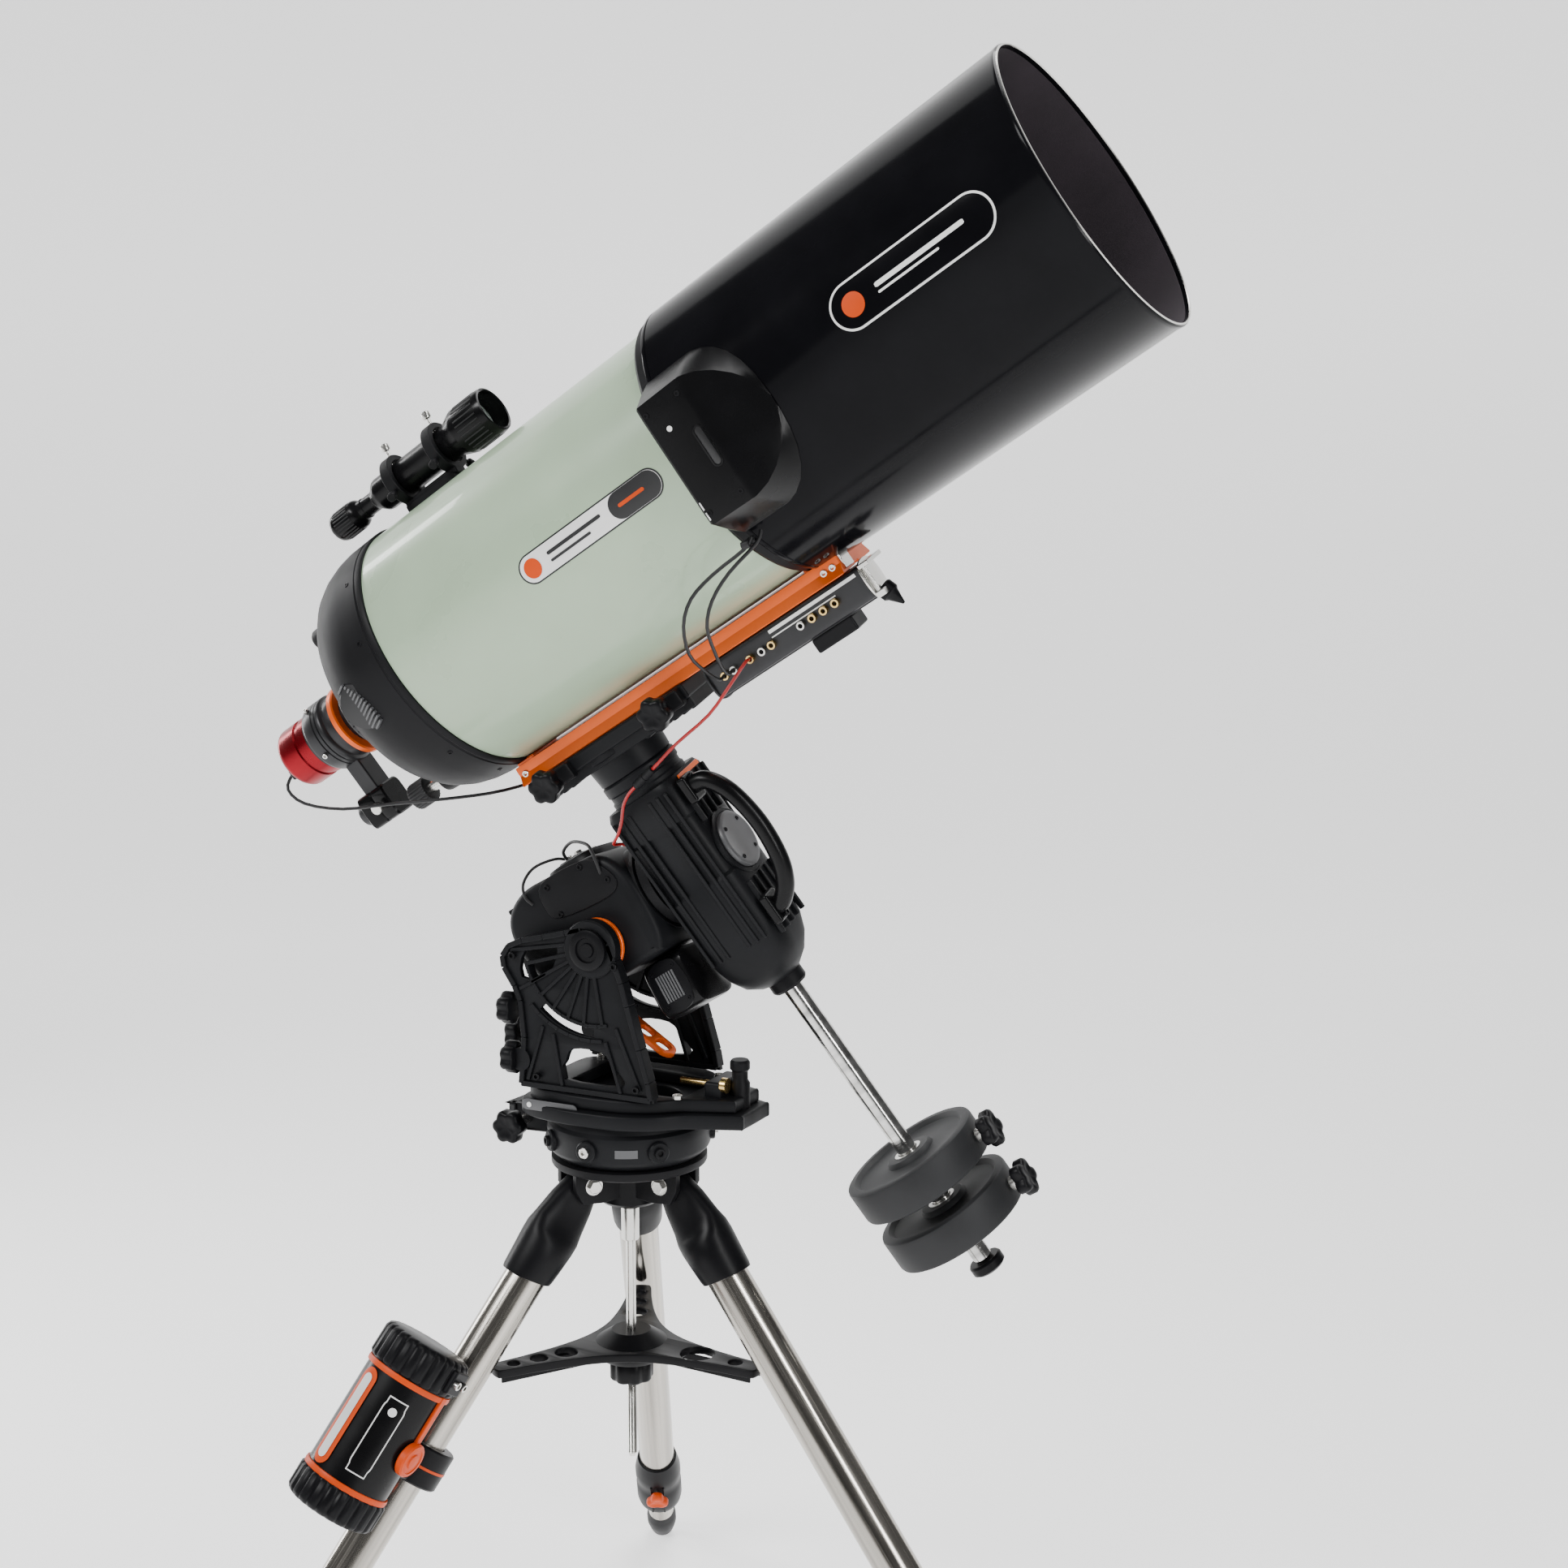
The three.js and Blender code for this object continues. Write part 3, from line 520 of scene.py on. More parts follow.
def spreader_tray():
    corner = []
    for i in range(3):
        for x, y in ((46, -36), (90, -24), (140, -17), (176, -14), (183, -8), (183, 8), (176, 14),
                     (140, 17), (90, 24), (46, 36)):
            a = math.radians(120 * i)
            corner.append((x * math.cos(a) - y * math.sin(a), x * math.sin(a) + y * math.cos(a)))
    holes = [arc(8, steps=24)]
    for i in range(3):
        a = math.radians(120 * i)
        spots = ((88, 14), (124, 11), (157, 8)) if i != 0 else ((96, 21), (150, 9))
        holes += [arc(r, d * math.cos(a), d * math.sin(a), steps=32) for d, r in spots]
    deck = plate("tray_deck", [curved(corner, 4)] + holes, -250, -240, TRIPOD, PLASTIC, "tray", 1.5)
    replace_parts(deck, "spreader_tray")
    for i in range(3):
        side = TRIPOD @ turn("Z", 120 * i)
        edges = [(48, 178, y - 1.5, y + 1.5, -256, -248) for y in (-12, 12)]
        blocks(f"tray_ribs_{i + 1}", edges, side, PLASTIC, "tray", 0.8)
    boss = [(8, -262), (38, -262), (42, -256), (44, -250), (44, -240), (38, -236), (24, -227), (8, -227)]
    lathe("tray_boss", boss, TRIPOD, PLASTIC, "tray")
    knob = star_knob("tray_wheel", 27, 28, 8, TRIPOD @ move(0, 0, -264) @ turn("X", 180), PLASTIC,
                     "tray_knob", 0.1)
    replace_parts(knob, "tray_knob")


def leg(i):
    place, body = LEGS[i], f"leg_{i + 1}"
    bm = bmesh.new()
    rings = []
    for z, r, squeeze in ((12, 11, 11), (8, 14, 14.5), (-6, 22, 15.6), (-30, 29, 15.6), (-58, 34, 16),
                          (-72, 35, 24), (-84, 34.6, 33), (-104, 33, 32.6), (-126, 31.4, 31.4),
                          (-131, 30.4, 30.4), (-132, 26, 26)):
        ring = superellipse(r, squeeze, 2.6 if squeeze < 30 else 2, (0, 0), 72)
        rings.append([(x, y, z - 5 * x / 35 * (z < -120)) for x, y in ring])
    ring_loft(bm, rings)
    socket = finish_mesh(f"leg_socket_{i + 1}", bm, place, PLASTIC, body, 45)
    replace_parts(socket, f"leg_{i + 1}")
    tube = [(25.4, -128), (25.4, -744), (22, -744), (22, -128)]
    lathe(f"leg_tube_{i + 1}", tube, place, STEEL, body, 72, closed=True)
    clamp = [(19.4, -862), (28, -862), (32, -856), (33.5, -846), (33.5, -812), (32.5, -808), (32.5, -792),
             (33.5, -788), (33.5, -772), (31, -756), (28.5, -742), (25.5, -741), (19.4, -741)]
    lathe(f"leg_clamp_{i + 1}", clamp, place, PLASTIC, body, 72, closed=True)
    ribs = [(-34.2, -30, -1.5 + y, 1.5 + y, -852, -780) for y in (-9, 9)]
    blocks(f"leg_clamp_ribs_{i + 1}", ribs, place, PLASTIC, body)
    lower = [(19, -912), (19, -640)]
    inner = lathe(f"leg_inner_tube_{i + 1}", lower, place, STEEL, f"leg_extension_{i + 1}", 64)
    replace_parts(inner, f"leg_extension_{i + 1}")
    foot = [(5, -966), (11, -965), (16, -960), (18, -954), (21, -940), (22, -934), (22, -918), (20.5, -915),
            (20.5, -911), (19.6, -909), (19.2, -906)]
    lathe(f"leg_foot_{i + 1}", foot, place, RUBBER, f"leg_extension_{i + 1}", 64)
    knob = place @ move(-36, 0, -800) @ turn("Y", -90)
    handle = star_knob(f"leg_lock_{i + 1}", 17, 12, 3, knob, ORANGE_PLASTIC, f"leg_lock_knob_{i + 1}", 0.34)
    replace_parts(handle, f"leg_lock_knob_{i + 1}")
    lathe(f"leg_lock_stem_{i + 1}", [(5.4, -13), (5.4, 1)], knob, ZINC, f"leg_lock_knob_{i + 1}", 24)


# ---------------------------------------------------------------- power tank on the left leg
def power_tank():
    body = "leg_3"
    shell = [(20, 8), (49, 8), (50.5, 10), (50.5, 204), (49, 206), (20, 206)]
    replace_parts(lathe("tank_shell", shell, TANK, SATIN, body), "power_tank")
    bm = bmesh.new()
    for levels in (((0, 0.88), (2, 0.95), (6, 0.995), (32, 1.0), (35, 0.96), (35.5, 0.90)),
                   ((172.5, 0.90), (173, 0.96), (176, 1.0), (206, 0.995), (211, 0.95), (213.5, 0.86))):
        ring_loft(bm, [wavy_ring(z, 24 * 8, lambda a: 55 * scale * (1 - 0.04 * max(0, math.cos(24 * a)) ** 2))
                       for z, scale in levels])
    finish_mesh("tank_end_caps", bm, TANK, PLASTIC, body, 40)
    for k, z in enumerate((38, 168)):
        ring = [(50, z - 3.5), (52.6, z - 3.2), (53.2, z), (52.6, z + 3.2), (50, z + 3.5)]
        lathe(f"tank_ring_{k + 1}", ring, TANK, ORANGE_PLASTIC, body, closed=True)
    wrapped("tank_lamp_bezel", 50.5, -20, 44, 162, 25, 1.6, TANK, ORANGE_PLASTIC, body)
    wrapped("tank_lamp", 50.5, -20, 51, 155, 13, 2.3, TANK, LENS_WHITE, body)
    wrapped("tank_label_border", 50.5, 34, 56, 148, 27, 0.5, TANK, WHITE, body, 0.9)
    wrapped("tank_label", 50.5, 34, 57.5, 146.5, 24, 0.8, TANK, SATIN, body, 0.9)
    wrapped("tank_label_mark", 50.5, 34, 128, 138, 10, 1.1, TANK, WHITE, body)
    port = TANK @ turn("Z", 92) @ move(50, 0, 96) @ turn("Y", 90)
    cap = [(6, 0), (19, 0), (20, 1.5), (20, 8), (18.5, 10), (15, 10.5), (14, 9.4), (9, 9.4), (8, 11),
           (2, 11.5)]
    lathe("tank_port_cap", cap, port, ORANGE_PLASTIC, body, 64)
    arm = TANK @ turn("Z", 92)
    blocks("tank_port_strap", [(49, 54, -5, 5, 112, 172)], arm, ORANGE_PLASTIC, body, 1.5)
    blocks("tank_plug_housing", [(48, 58, -15, 15, 178, 206)], arm, PLASTIC, body, 2.5)
    socket_screws("tank_posts", [(0, 8, 0), (0, -8, 0)], 5, 6, arm @ move(58, 0, 192) @ turn("Y", 90), ZINC,
                  body)


def tank_strap():
    body = "leg_3"
    band = lathe("strap_clip", [(26.4, 0), (38, 0), (40, 2), (40, 44), (38, 46), (26.4, 46)], STRAP,
                 PLASTIC, body, closed=True)
    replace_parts(band, "tank_strap")
    blocks("strap_block", [(36, 66, -25, 25, 3, 43)], STRAP, PLASTIC, body, 2)
    stripe = [(40, 21), (40.6, 21), (40.6, 24), (40, 24)]
    lathe("strap_line", stripe, STRAP, ORANGE_PLASTIC, body, closed=True)


# ---------------------------------------------------------------- azimuth base
def azimuth_base():
    profile = [(14, 0.4), (86, 0.4), (90, 3), (97, 10), (99, 14), (99, 30), (100, 34), (99, 42), (95, 46),
               (93, 55.5), (14, 55.5)]
    base = lathe("azimuth_ring", profile, HEAD, CAST, "stand", 128)
    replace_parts(base, "azimuth_base")
    ears = [(-153, -92, 22.5, 34, 18, 50), (-153, -92, -34, -22.5, 18, 50), (-153, -141, -34, 34, 18, 50)]
    blocks("azimuth_screw_yoke", ears, HEAD, CAST, "stand", 3)
    for k, a in enumerate((-128, -90, -40, 30, 90, 150)):
        flat = around(HEAD, 98, a, 26)
        lathe(f"base_boss_{k + 1}", [(2, -4), (13, -4), (13, 5), (11.5, 6.5), (2, 6.5)], flat, CAST,
              "stand", 40)
        socket_screws(f"base_screw_{k + 1}", [(0, 0, 6)], 6.5, 4.5, flat, ZINC if k % 2 else MATTE, "stand")
    wrapped("base_plate_border", 99, -62, 20, 30, 30, 0.5, HEAD, GREY, "stand", 0.9)


def azimuth_deck():
    outline = [(-108, -70), (-84, -92), (-40, -103), (0, -104), (44, -100), (84, -82), (110, -60),
               (168, -36), (173, -28), (173, 28), (168, 36), (110, 60), (84, 82), (44, 100), (0, 104),
               (-40, 103), (-84, 92), (-108, 70), (-110, 20), (-110, -20)]
    deck = plate("azimuth_deck", [curved(outline, 3), arc(46, 20, 0)], 56, 74, HEAD, CAST, "azimuth", 3)
    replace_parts(deck, "azimuth_plate")
    inner = [(x * 0.93, y * 0.90) for x, y in outline]
    plate("azimuth_deck_rim", [curved(inner, 3), [(-62, -58), (98, -44), (98, 44), (-62, 58)]], 74, 90,
          HEAD, CAST, "azimuth", 3)
    blocks("azimuth_tongue", [(-134, -96, -13, 13, 57, 73), (-131, -117, -8.5, 8.5, 27, 60)], HEAD, CAST,
           "azimuth", 2)
    blocks("north_post_tower", [(118, 141, -29, 29, 72, 108)], HEAD, CAST, "azimuth", 4)
    post = [(3, 70), (12, 70), (12, 104), (9.5, 108), (9.5, 118), (12, 121), (12, 129), (10, 132), (3, 132)]
    lathe("north_post", post, HEAD @ move(152, 0, 0), MATTE, "azimuth", 48)
    bolt = [(4, 0), (4, 54), (9, 55), (9, 62), (4, 62)]
    lathe("north_brass_bolt", bolt, HEAD @ move(84, -20, 104) @ turn("Y", 90), BRASS, "azimuth", 32)
    socket_screws("deck_screws", [(-80, -70, 0), (-80, 70, 0), (96, -52, 0), (96, 52, 0)], 6, 5,
                  HEAD @ move(0, 0, 90), ZINC, "azimuth")
    badge = HEAD @ move(-52, -96.6, 73) @ turn("X", 90)
    plate("deck_badge", [pill(76, 13)], 0, 2.2, badge, GREY, "azimuth", 0.8)
    plate("deck_badge_mark", [arc(3.2, -28, 0, steps=24)], 2.0, 3.0, badge, WHITE, "azimuth", 0.2)


SIDE_OUTLINE = [(-100, 91), (84, 91), (80, 112), (68, 152), (52, 204), (44, 232), (34, 258), (26, 278),
                (10, 292), (-12, 293), (-34, 287), (-66, 279), (-96, 272), (-116, 263), (-125, 250),
                (-123, 236), (-108, 214), (-100, 196), (-95, 150), (-97, 120)]


def on_pivot_ring(radius, degrees):
    a = math.radians(degrees)
    return (radius * math.cos(a), PIVOT_HEIGHT + radius * math.sin(a))


def side_plate(name, sign):
    """One A-shaped side plate; sign is -1 on the near side, where the ribs face -Y."""
    place = HEAD @ move(0, PLATE_MID * sign, 0) @ turn("X", 90)
    slot = arc(106, 0, PIVOT_HEIGHT, 228, 272, 16) + arc(94, 0, PIVOT_HEIGHT, 272, 228, 16)
    window = [(-42, 106), (42, 106), (30, 128), (12, 144), (-26, 144), (-36, 128)]
    corner_window = [(-90, 258), (-46, 266), (-60, 230), (-96, 224)]
    holes = [arc(19, 0, PIVOT_HEIGHT, steps=36), slot, curved(window, 3), curved(corner_window, 3)]
    web = plate(f"{name}_web", [SIDE_OUTLINE] + holes, -4, 4, place, CAST, "azimuth", 0.8)
    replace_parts(web, f"side_plate_{name}")
    rim = list(zip(SIDE_OUTLINE, SIDE_OUTLINE[1:] + SIDE_OUTLINE[:1]))
    inset = [tuple((px * 0.965 - 0.7, 190 + (pz - 190) * 0.965) for px, pz in pair) for pair in rim]
    bars(f"{name}_rim", inset, 7, -8, 8, HEAD @ move(0, PLATE_MID * sign, 0), CAST, "azimuth", 1.2)
    rays = [(on_pivot_ring(30, a), on_pivot_ring(92, a)) for a in (196, 210, 222, 236, 250, 264, 280)]
    ring = [(on_pivot_ring(92, a), on_pivot_ring(92, a + 8)) for a in range(196, 284, 8)]
    outer = [(on_pivot_ring(110, a), on_pivot_ring(110, a + 8)) for a in range(222, 278, 8)]
    legs = [((-88, 100), (-66, 168)), ((-40, 98), (-52, 160)), ((40, 98), (20, 158)),
            ((66, 104), (34, 176)), ((-110, 256), (-30, 270)), ((-98, 210), (-60, 232))]
    bars(f"{name}_ribs", rays + ring + outer + legs, 4.5, -7, 7, HEAD @ move(0, PLATE_MID * sign, 0), CAST,
         "azimuth", 0.9)
    boss = [(18.6, -8), (33, -8), (35, -6), (35, 6), (33, 8), (18.6, 8)]
    lathe(f"{name}_pivot_boss", boss, HEAD @ move(0, PLATE_MID * sign, PIVOT_HEIGHT) @ turn("X", 90), CAST,
          "azimuth", closed=True)
    lathe(f"{name}_lock_boss", [(3, -7.8), (14, -7.8), (14, 7.8), (3, 7.8)],
          HEAD @ move(-98, PLATE_MID * sign, 124) @ turn("X", 90), CAST, "azimuth", 40)
    face = HEAD @ move(0, (PLATE_MID + 8) * sign, 0) @ turn("X", -90 * sign)
    spots = [(x, -z * sign, -1) for x, z in ((-106, 250), (-74, 106), (62, 106), (34, 250))]
    socket_screws(f"{name}_screws", spots, 4.6, 4, face, PLASTIC, "azimuth")


def mount_knobs():
    for k, sign in ((1, -1), (2, 1)):
        place = HEAD @ move(AZIMUTH_LEVER, 66 * sign, 34) @ turn("X", -90 * sign)
        knob = star_knob(f"azimuth_wheel_{k}", 21, 18, 6, place, PLASTIC, f"azimuth_knob_{k}")
        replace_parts(knob, f"azimuth_knob_{k}")
        lathe(f"azimuth_screw_{k}", [(6.3, -50), (6.5, -48), (6.5, 1)], place, ZINC, f"azimuth_knob_{k}",
              24)
    for k, x, z in ((1, -108, 184), (2, -104, 124)):
        place = HEAD @ move(x, -PLATE_MID, z) @ turn("Y", -90)
        knob = star_knob(f"altitude_lock_{k}", 20, 18, 6, place, PLASTIC, f"altitude_lock_knob_{k}")
        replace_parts(knob, f"altitude_lock_knob_{k}")
    place = HEAD @ move(-150, 0, 130) @ turn("Y", -90)
    knob = star_knob("altitude_wheel", 22, 18, 6, place, PLASTIC, "altitude_knob")
    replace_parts(knob, "altitude_knob")
    lathe("altitude_screw", [(5.8, -60), (6, -58), (6, 1)], place, ZINC, "altitude_knob", 24)


def altitude_link():
    place = HEAD @ move(24, 0, 150) @ turn("Y", 32)
    outline = pill(90, 30)
    windows = [[(x - 8, -8), (x + 8, -8), (x + 8, 8), (x - 8, 8)] for x in (-27, 0, 27)]
    link = plate("altitude_ladder", [outline] + [curved(w, 3) for w in windows], -3.6, 3.6, place, ORANGE,
                 "azimuth", 0.8)
    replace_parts(link, "altitude_link")


# ---------------------------------------------------------------- altitude and right ascension body
def altitude_body():
    axle = lathe("altitude_shaft", [(16.4, -92), (16.4, 92)], POLAR @ turn("X", 90), MATTE, "altitude", 64)
    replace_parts(axle, "altitude_axle")
    for tag, sign in (("near", 1), ("far", -1)):
        place = POLAR @ turn("X", 90 * sign)
        ring = [(17, 64), (33, 64), (34, 65), (34, 68), (33, 69), (33, 70), (34, 71), (34, 73), (17, 73.5)]
        lathe(f"altitude_ring_{tag}", ring, place, ORANGE, "altitude", 96, closed=True)
        cap = [(3, 90), (24, 90.4), (24.4, 92), (24, 95), (21, 96), (15, 96), (14, 93.5), (9, 93.5),
               (8, 95.5), (3, 95.5)]
        lathe(f"altitude_cap_{tag}", cap, place, PLASTIC, "altitude", 64)


RA_OUTLINE = [(-104, -68), (-104, -30), (-100, 20), (-97, 44), (-84, 62), (-60, 74), (-28, 79), (14, 79),
              (36, 72), (43, 58), (43, -20), (34, -52), (20, -78), (-8, -102), (-58, -110), (-88, -98)]


def ra_body():
    place = POLAR @ turn("X", 90)
    core = plate("ra_core", [curved(RA_OUTLINE, 5)], -62, 62, place, CAST, "altitude", 9)
    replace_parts(core, "ra_housing")
    barrel = [(22, -117), (50, -117), (56, -113), (58, -106), (58, -60), (56.5, -58), (56.5, 40), (58, 42),
              (58, 70), (57, 72), (57, 77), (55, 79.5), (22, 79.5)]
    lathe("ra_barrel", barrel, POLAR @ move(-30, 0, 0), CAST, "altitude", 128, closed=True)
    cap = [(2, -121), (36, -121), (40, -119.5), (42, -117), (42, -112), (2, -112)]
    lathe("polar_port_cap", cap, POLAR @ move(-30, 0, 0), PLASTIC, "altitude", 64)
    for k, x in enumerate((-92, -72, -50)):
        blocks(f"ra_rear_rib_{k + 1}", [(x - 3, x + 3, -54, 54, -100 + k, -60)], POLAR, CAST, "altitude",
               1.5)
    panel = [(-100, -34), (-98, 30), (-84, 50), (-56, 62), (-44, 40), (-52, -30), (-70, -44)]
    for tag, z in (("near", 61), ("far", -64)):
        plate(f"ra_panel_{tag}", [curved(panel, 4)], z, z + 3, place, MATTE, "altitude", 1.2)
    screws = [(-92, 26, 0), (-62, 52, 0), (-56, -28, 0), (-92, -28, 0)]
    socket_screws("ra_panel_screws", screws, 3.6, 2.4, POLAR @ move(0, -63.6, 0) @ turn("X", 90), PLASTIC,
                  "altitude")
    bm = bmesh.new()
    sections = ((-92, 44, 42), (-104, 43, 41), (-109, 40, 38), (-110.5, 34, 32))
    ring_loft(bm, [[(x, y, z) for y, z in superellipse(half_y, half_z, 3.4, (0, -4), 56)]
                   for x, half_y, half_z in sections])
    finish_mesh("ra_motor_hump", bm, POLAR, CAST, "altitude")
    ports = POLAR @ move(-110, 0, 0) @ turn("Y", -90)
    blocks("ra_port_panel", [(-22, 14, -26, 26, 0, 3)], ports, GREY, "altitude", 1)
    for k, (x, y) in enumerate(((-12, -16), (-12, 0), (-12, 16), (4, -16))):
        lathe(f"ra_port_{k + 1}", [(2.5, 2), (5, 2), (5, 7), (3.4, 7), (3.2, 4), (2.5, 4)],
              ports @ move(x, y, 0), ZINC, "altitude", 32, closed=True)
    blocks("ra_switch", [(0, 10, 6, 18, 2, 6)], ports, WHITE, "altitude", 1)
    wire("ra_loop_lead_1", [(-112, -20, -12), (-124, -26, -8), (-126, -40, 18), (-112, -56, 44),
                            (-98, -66, 52), (-80, -66, 50), (-72, -62, 46)], 2.0, POLAR, RUBBER, "altitude")
    wire("ra_loop_lead_2", [(-112, -14, -12), (-122, -24, -24), (-124, -44, -44), (-112, -62, -56),
                            (-96, -66, -60), (-84, -62, -58)], 1.8, POLAR, RUBBER, "altitude")


def ra_motor_cover():
    layers = [(10, 28, 29), (17, 29, 30), (18, 34, 40), (20, 35.6, 41.6), (70, 36, 42), (74, 35, 41),
              (76, 31, 37), (76.2, 4, 4)]
    cover = rounded_stack("motor_cover_shell", layers, 5, (82, 0), POLAR, SATIN, "altitude")
    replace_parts(cover, "ra_motor_cover")
    face = POLAR @ move(82, -41.4, 46) @ turn("X", 90)
    plate("motor_cover_panel", [curved([(-26, -20), (26, -20), (26, 20), (-26, 20)], 8)], -1, 1.6, face,
          PLASTIC, "altitude", 0.8)
    grille = [(-17, 17, y - 1.2, y + 1.2, 1, 3.2) for y in range(-12, 13, 4)]
    blocks("motor_cover_ribs", grille, face, GREY, "altitude", 0.4)
    socket_screws("motor_cover_screws", [(-22, -16, 1), (22, -16, 1), (-22, 16, 1), (22, 16, 1)], 2.4, 1.6,
                  face, PLASTIC, "altitude")


# ---------------------------------------------------------------- declination body
def dec_body():
    sections = [(-108, 40, 38, 3.5, 0, 0), (-106, 52, 50, 4.5, 0, 0), (-98, 55, 53, 5, 0, 0),
                (-60, 55, 53, 5, 0, 0), (-56, 52, 50, 5, 0, 0), (20, 52, 50, 5, 0, 0),
                (24, 55, 53, 5, 0, 0), (90, 55, 53.5, 4.6, 0, 0), (118, 54.5, 52, 3.8, 0, -1),
                (138, 51, 48, 3, 0, -2), (155, 42, 40, 2.5, 0, -4), (166, 28, 27, 2.2, 0, -4),
                (172, 12, 12, 2, 0, -3)]
    shell = loft_x("dec_shell", sections, DEC, CAST, "right_ascension")
    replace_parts(shell, "dec_housing")
    collar = [(12, -136), (46, -136), (49, -133), (49, -122), (47, -120), (47, -114), (49, -112),
              (49, -104), (12, -104)]
    lathe("dec_collar", collar, DEC @ turn("Y", 90), CAST, "right_ascension", 128)
    flange = [(12, -60), (53, -60), (55, -58), (55, -46), (12, -46)]
    lathe("dec_flange", flange, DEC, MATTE, "right_ascension", 128)
    ribs = []
    for z in (-40, -28, -16, 16, 28, 40):
        ribs += [(-96, 108, -56.6, -53, z - 2.2, z + 2.2), (-96, 108, 53, 56.6, z - 2.2, z + 2.2)]
    blocks("dec_side_ribs", ribs, DEC, CAST, "right_ascension", 1.2)
    top = [(-96, -42, y - 2.5, y + 2.5, 50, 56.5) for y in (-36, -18, 0, 18, 36)]
    top += [(44, 116, y - 2.5, y + 2.5, 50, 56.5) for y in (-36, -18, 0, 18, 36)]
    blocks("dec_top_ribs", top, DEC, CAST, "right_ascension", 1.4)
    lathe("dec_cover_seat", [(2, 48), (42, 48), (43, 50), (43, 53), (41, 54.4), (37, 54.4), (37, 52),
                             (2, 52)], DEC, CAST, "right_ascension", 96)
    cover = lathe("dec_cover_plate", [(0.1, 52.3), (35.4, 52.3), (36, 53), (36, 57), (35, 58.6), (32, 59.4),
                                      (30, 59), (0.1, 59)], DEC, GREY, "right_ascension", 96)
    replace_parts(cover, "axis_cover")
    socket_screws("dec_cover_screws", circle(27, 58.6, 4, math.radians(45)), 2.6, 1.6, DEC, PLASTIC,
                  "right_ascension")
    blocks("dec_accent", [(-103, -97, -30, 30, 52.4, 55)], DEC, ORANGE, "right_ascension", 0.8)
    nut = [(12.6, 164), (22, 164), (23, 166), (23, 180), (21, 183), (12.6, 183)]
    lathe("shaft_lock_nut", nut, DEC @ turn("Y", 90), MATTE, "right_ascension", 12, closed=True)
    lathe("ra_saddle_ring", [(40, -66), (57, -66), (57, -61), (40, -61)], DEC, MATTE, "altitude", 128,
          closed=True)


def carry_handle():
    path = [(-84, -34, 60), (-82, -34, 82), (-56, -34, 100), (-10, -34, 108), (36, -34, 104), (66, -34, 92),
            (84, -34, 74), (87, -34, 60)]
    grip = wire("handle_grip", path, 11, DEC, SATIN, "right_ascension", 10)
    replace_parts(grip, "carry_handle")
    feet = [(-100, -66, -49, -19, 55, 68), (66, 104, -49, -19, 55, 68)]
    blocks("handle_feet", feet, DEC, SATIN, "right_ascension", 4)
    screws = [(-94, -34, 68), (98, -34, 68)]
    socket_screws("handle_screws", screws, 4.4, 4, DEC, PLASTIC, "right_ascension")
    blocks("handle_seams", [(-22, 20, -43.4, -24.6, 104.8, 107)], DEC, PLASTIC, "right_ascension", 0.8)


def counterweights():
    shaft = lathe("weight_shaft", [(10, 150), (12.2, 152), (12.2, 588), (10.5, 590)], DEC @ turn("Y", 90),
                  SHAFT, "right_ascension", 64)
    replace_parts(shaft, "counterweight_shaft")
    t = WEIGHT_THICK
    disc = [(13.2, 1), (14.5, 0), (28, 0), (30, 1.5), (32, 6), (36, 7), (68, 7), (72, 5.5), (75, 1.5),
            (77, 0), (84, 0), (87, 1.5), (88, 4.5), (88, t - 4.5), (87, t - 1.5), (84, t), (77, t),
            (74, t - 1), (36, t - 1), (32, t), (14.5, t), (13.2, t - 1)]
    for k, place in enumerate(WEIGHTS):
        body = f"counterweight_{k + 1}"
        weight = lathe(f"weight_disc_{k + 1}", disc, place, IRON, body, 160, closed=True)
        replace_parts(weight, body)
        lathe(f"weight_sleeve_{k + 1}", [(13.3, -0.6), (18, -0.6), (18, t + 0.6), (13.3, t + 0.6)], place,
              ZINC, body, 64, closed=True)
        knob = place @ move(-100, 0, t / 2) @ turn("Y", -90)
        name = f"counterweight_knob_{k + 1}"
        wheel = star_knob(f"weight_wheel_{k + 1}", 23, 16, 5, knob, PLASTIC, name, 0.26)
        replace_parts(wheel, name)
        lathe(f"weight_screw_{k + 1}", [(4.8, -36), (5, -34), (5, -11), (8.8, -10), (9, -8), (9, 1)], knob,
              ZINC, name, 32)
    stop = [(2, 0.4), (20, 0.4), (22, 3), (22, 12), (18, 15), (8, 15), (7, 13), (2, 13)]
    end = lathe("shaft_end_stop", stop, DEC @ move(590.3, 0, 0) @ turn("Y", 90), PLASTIC, "toe_saver", 64)
    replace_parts(end, "toe_saver")


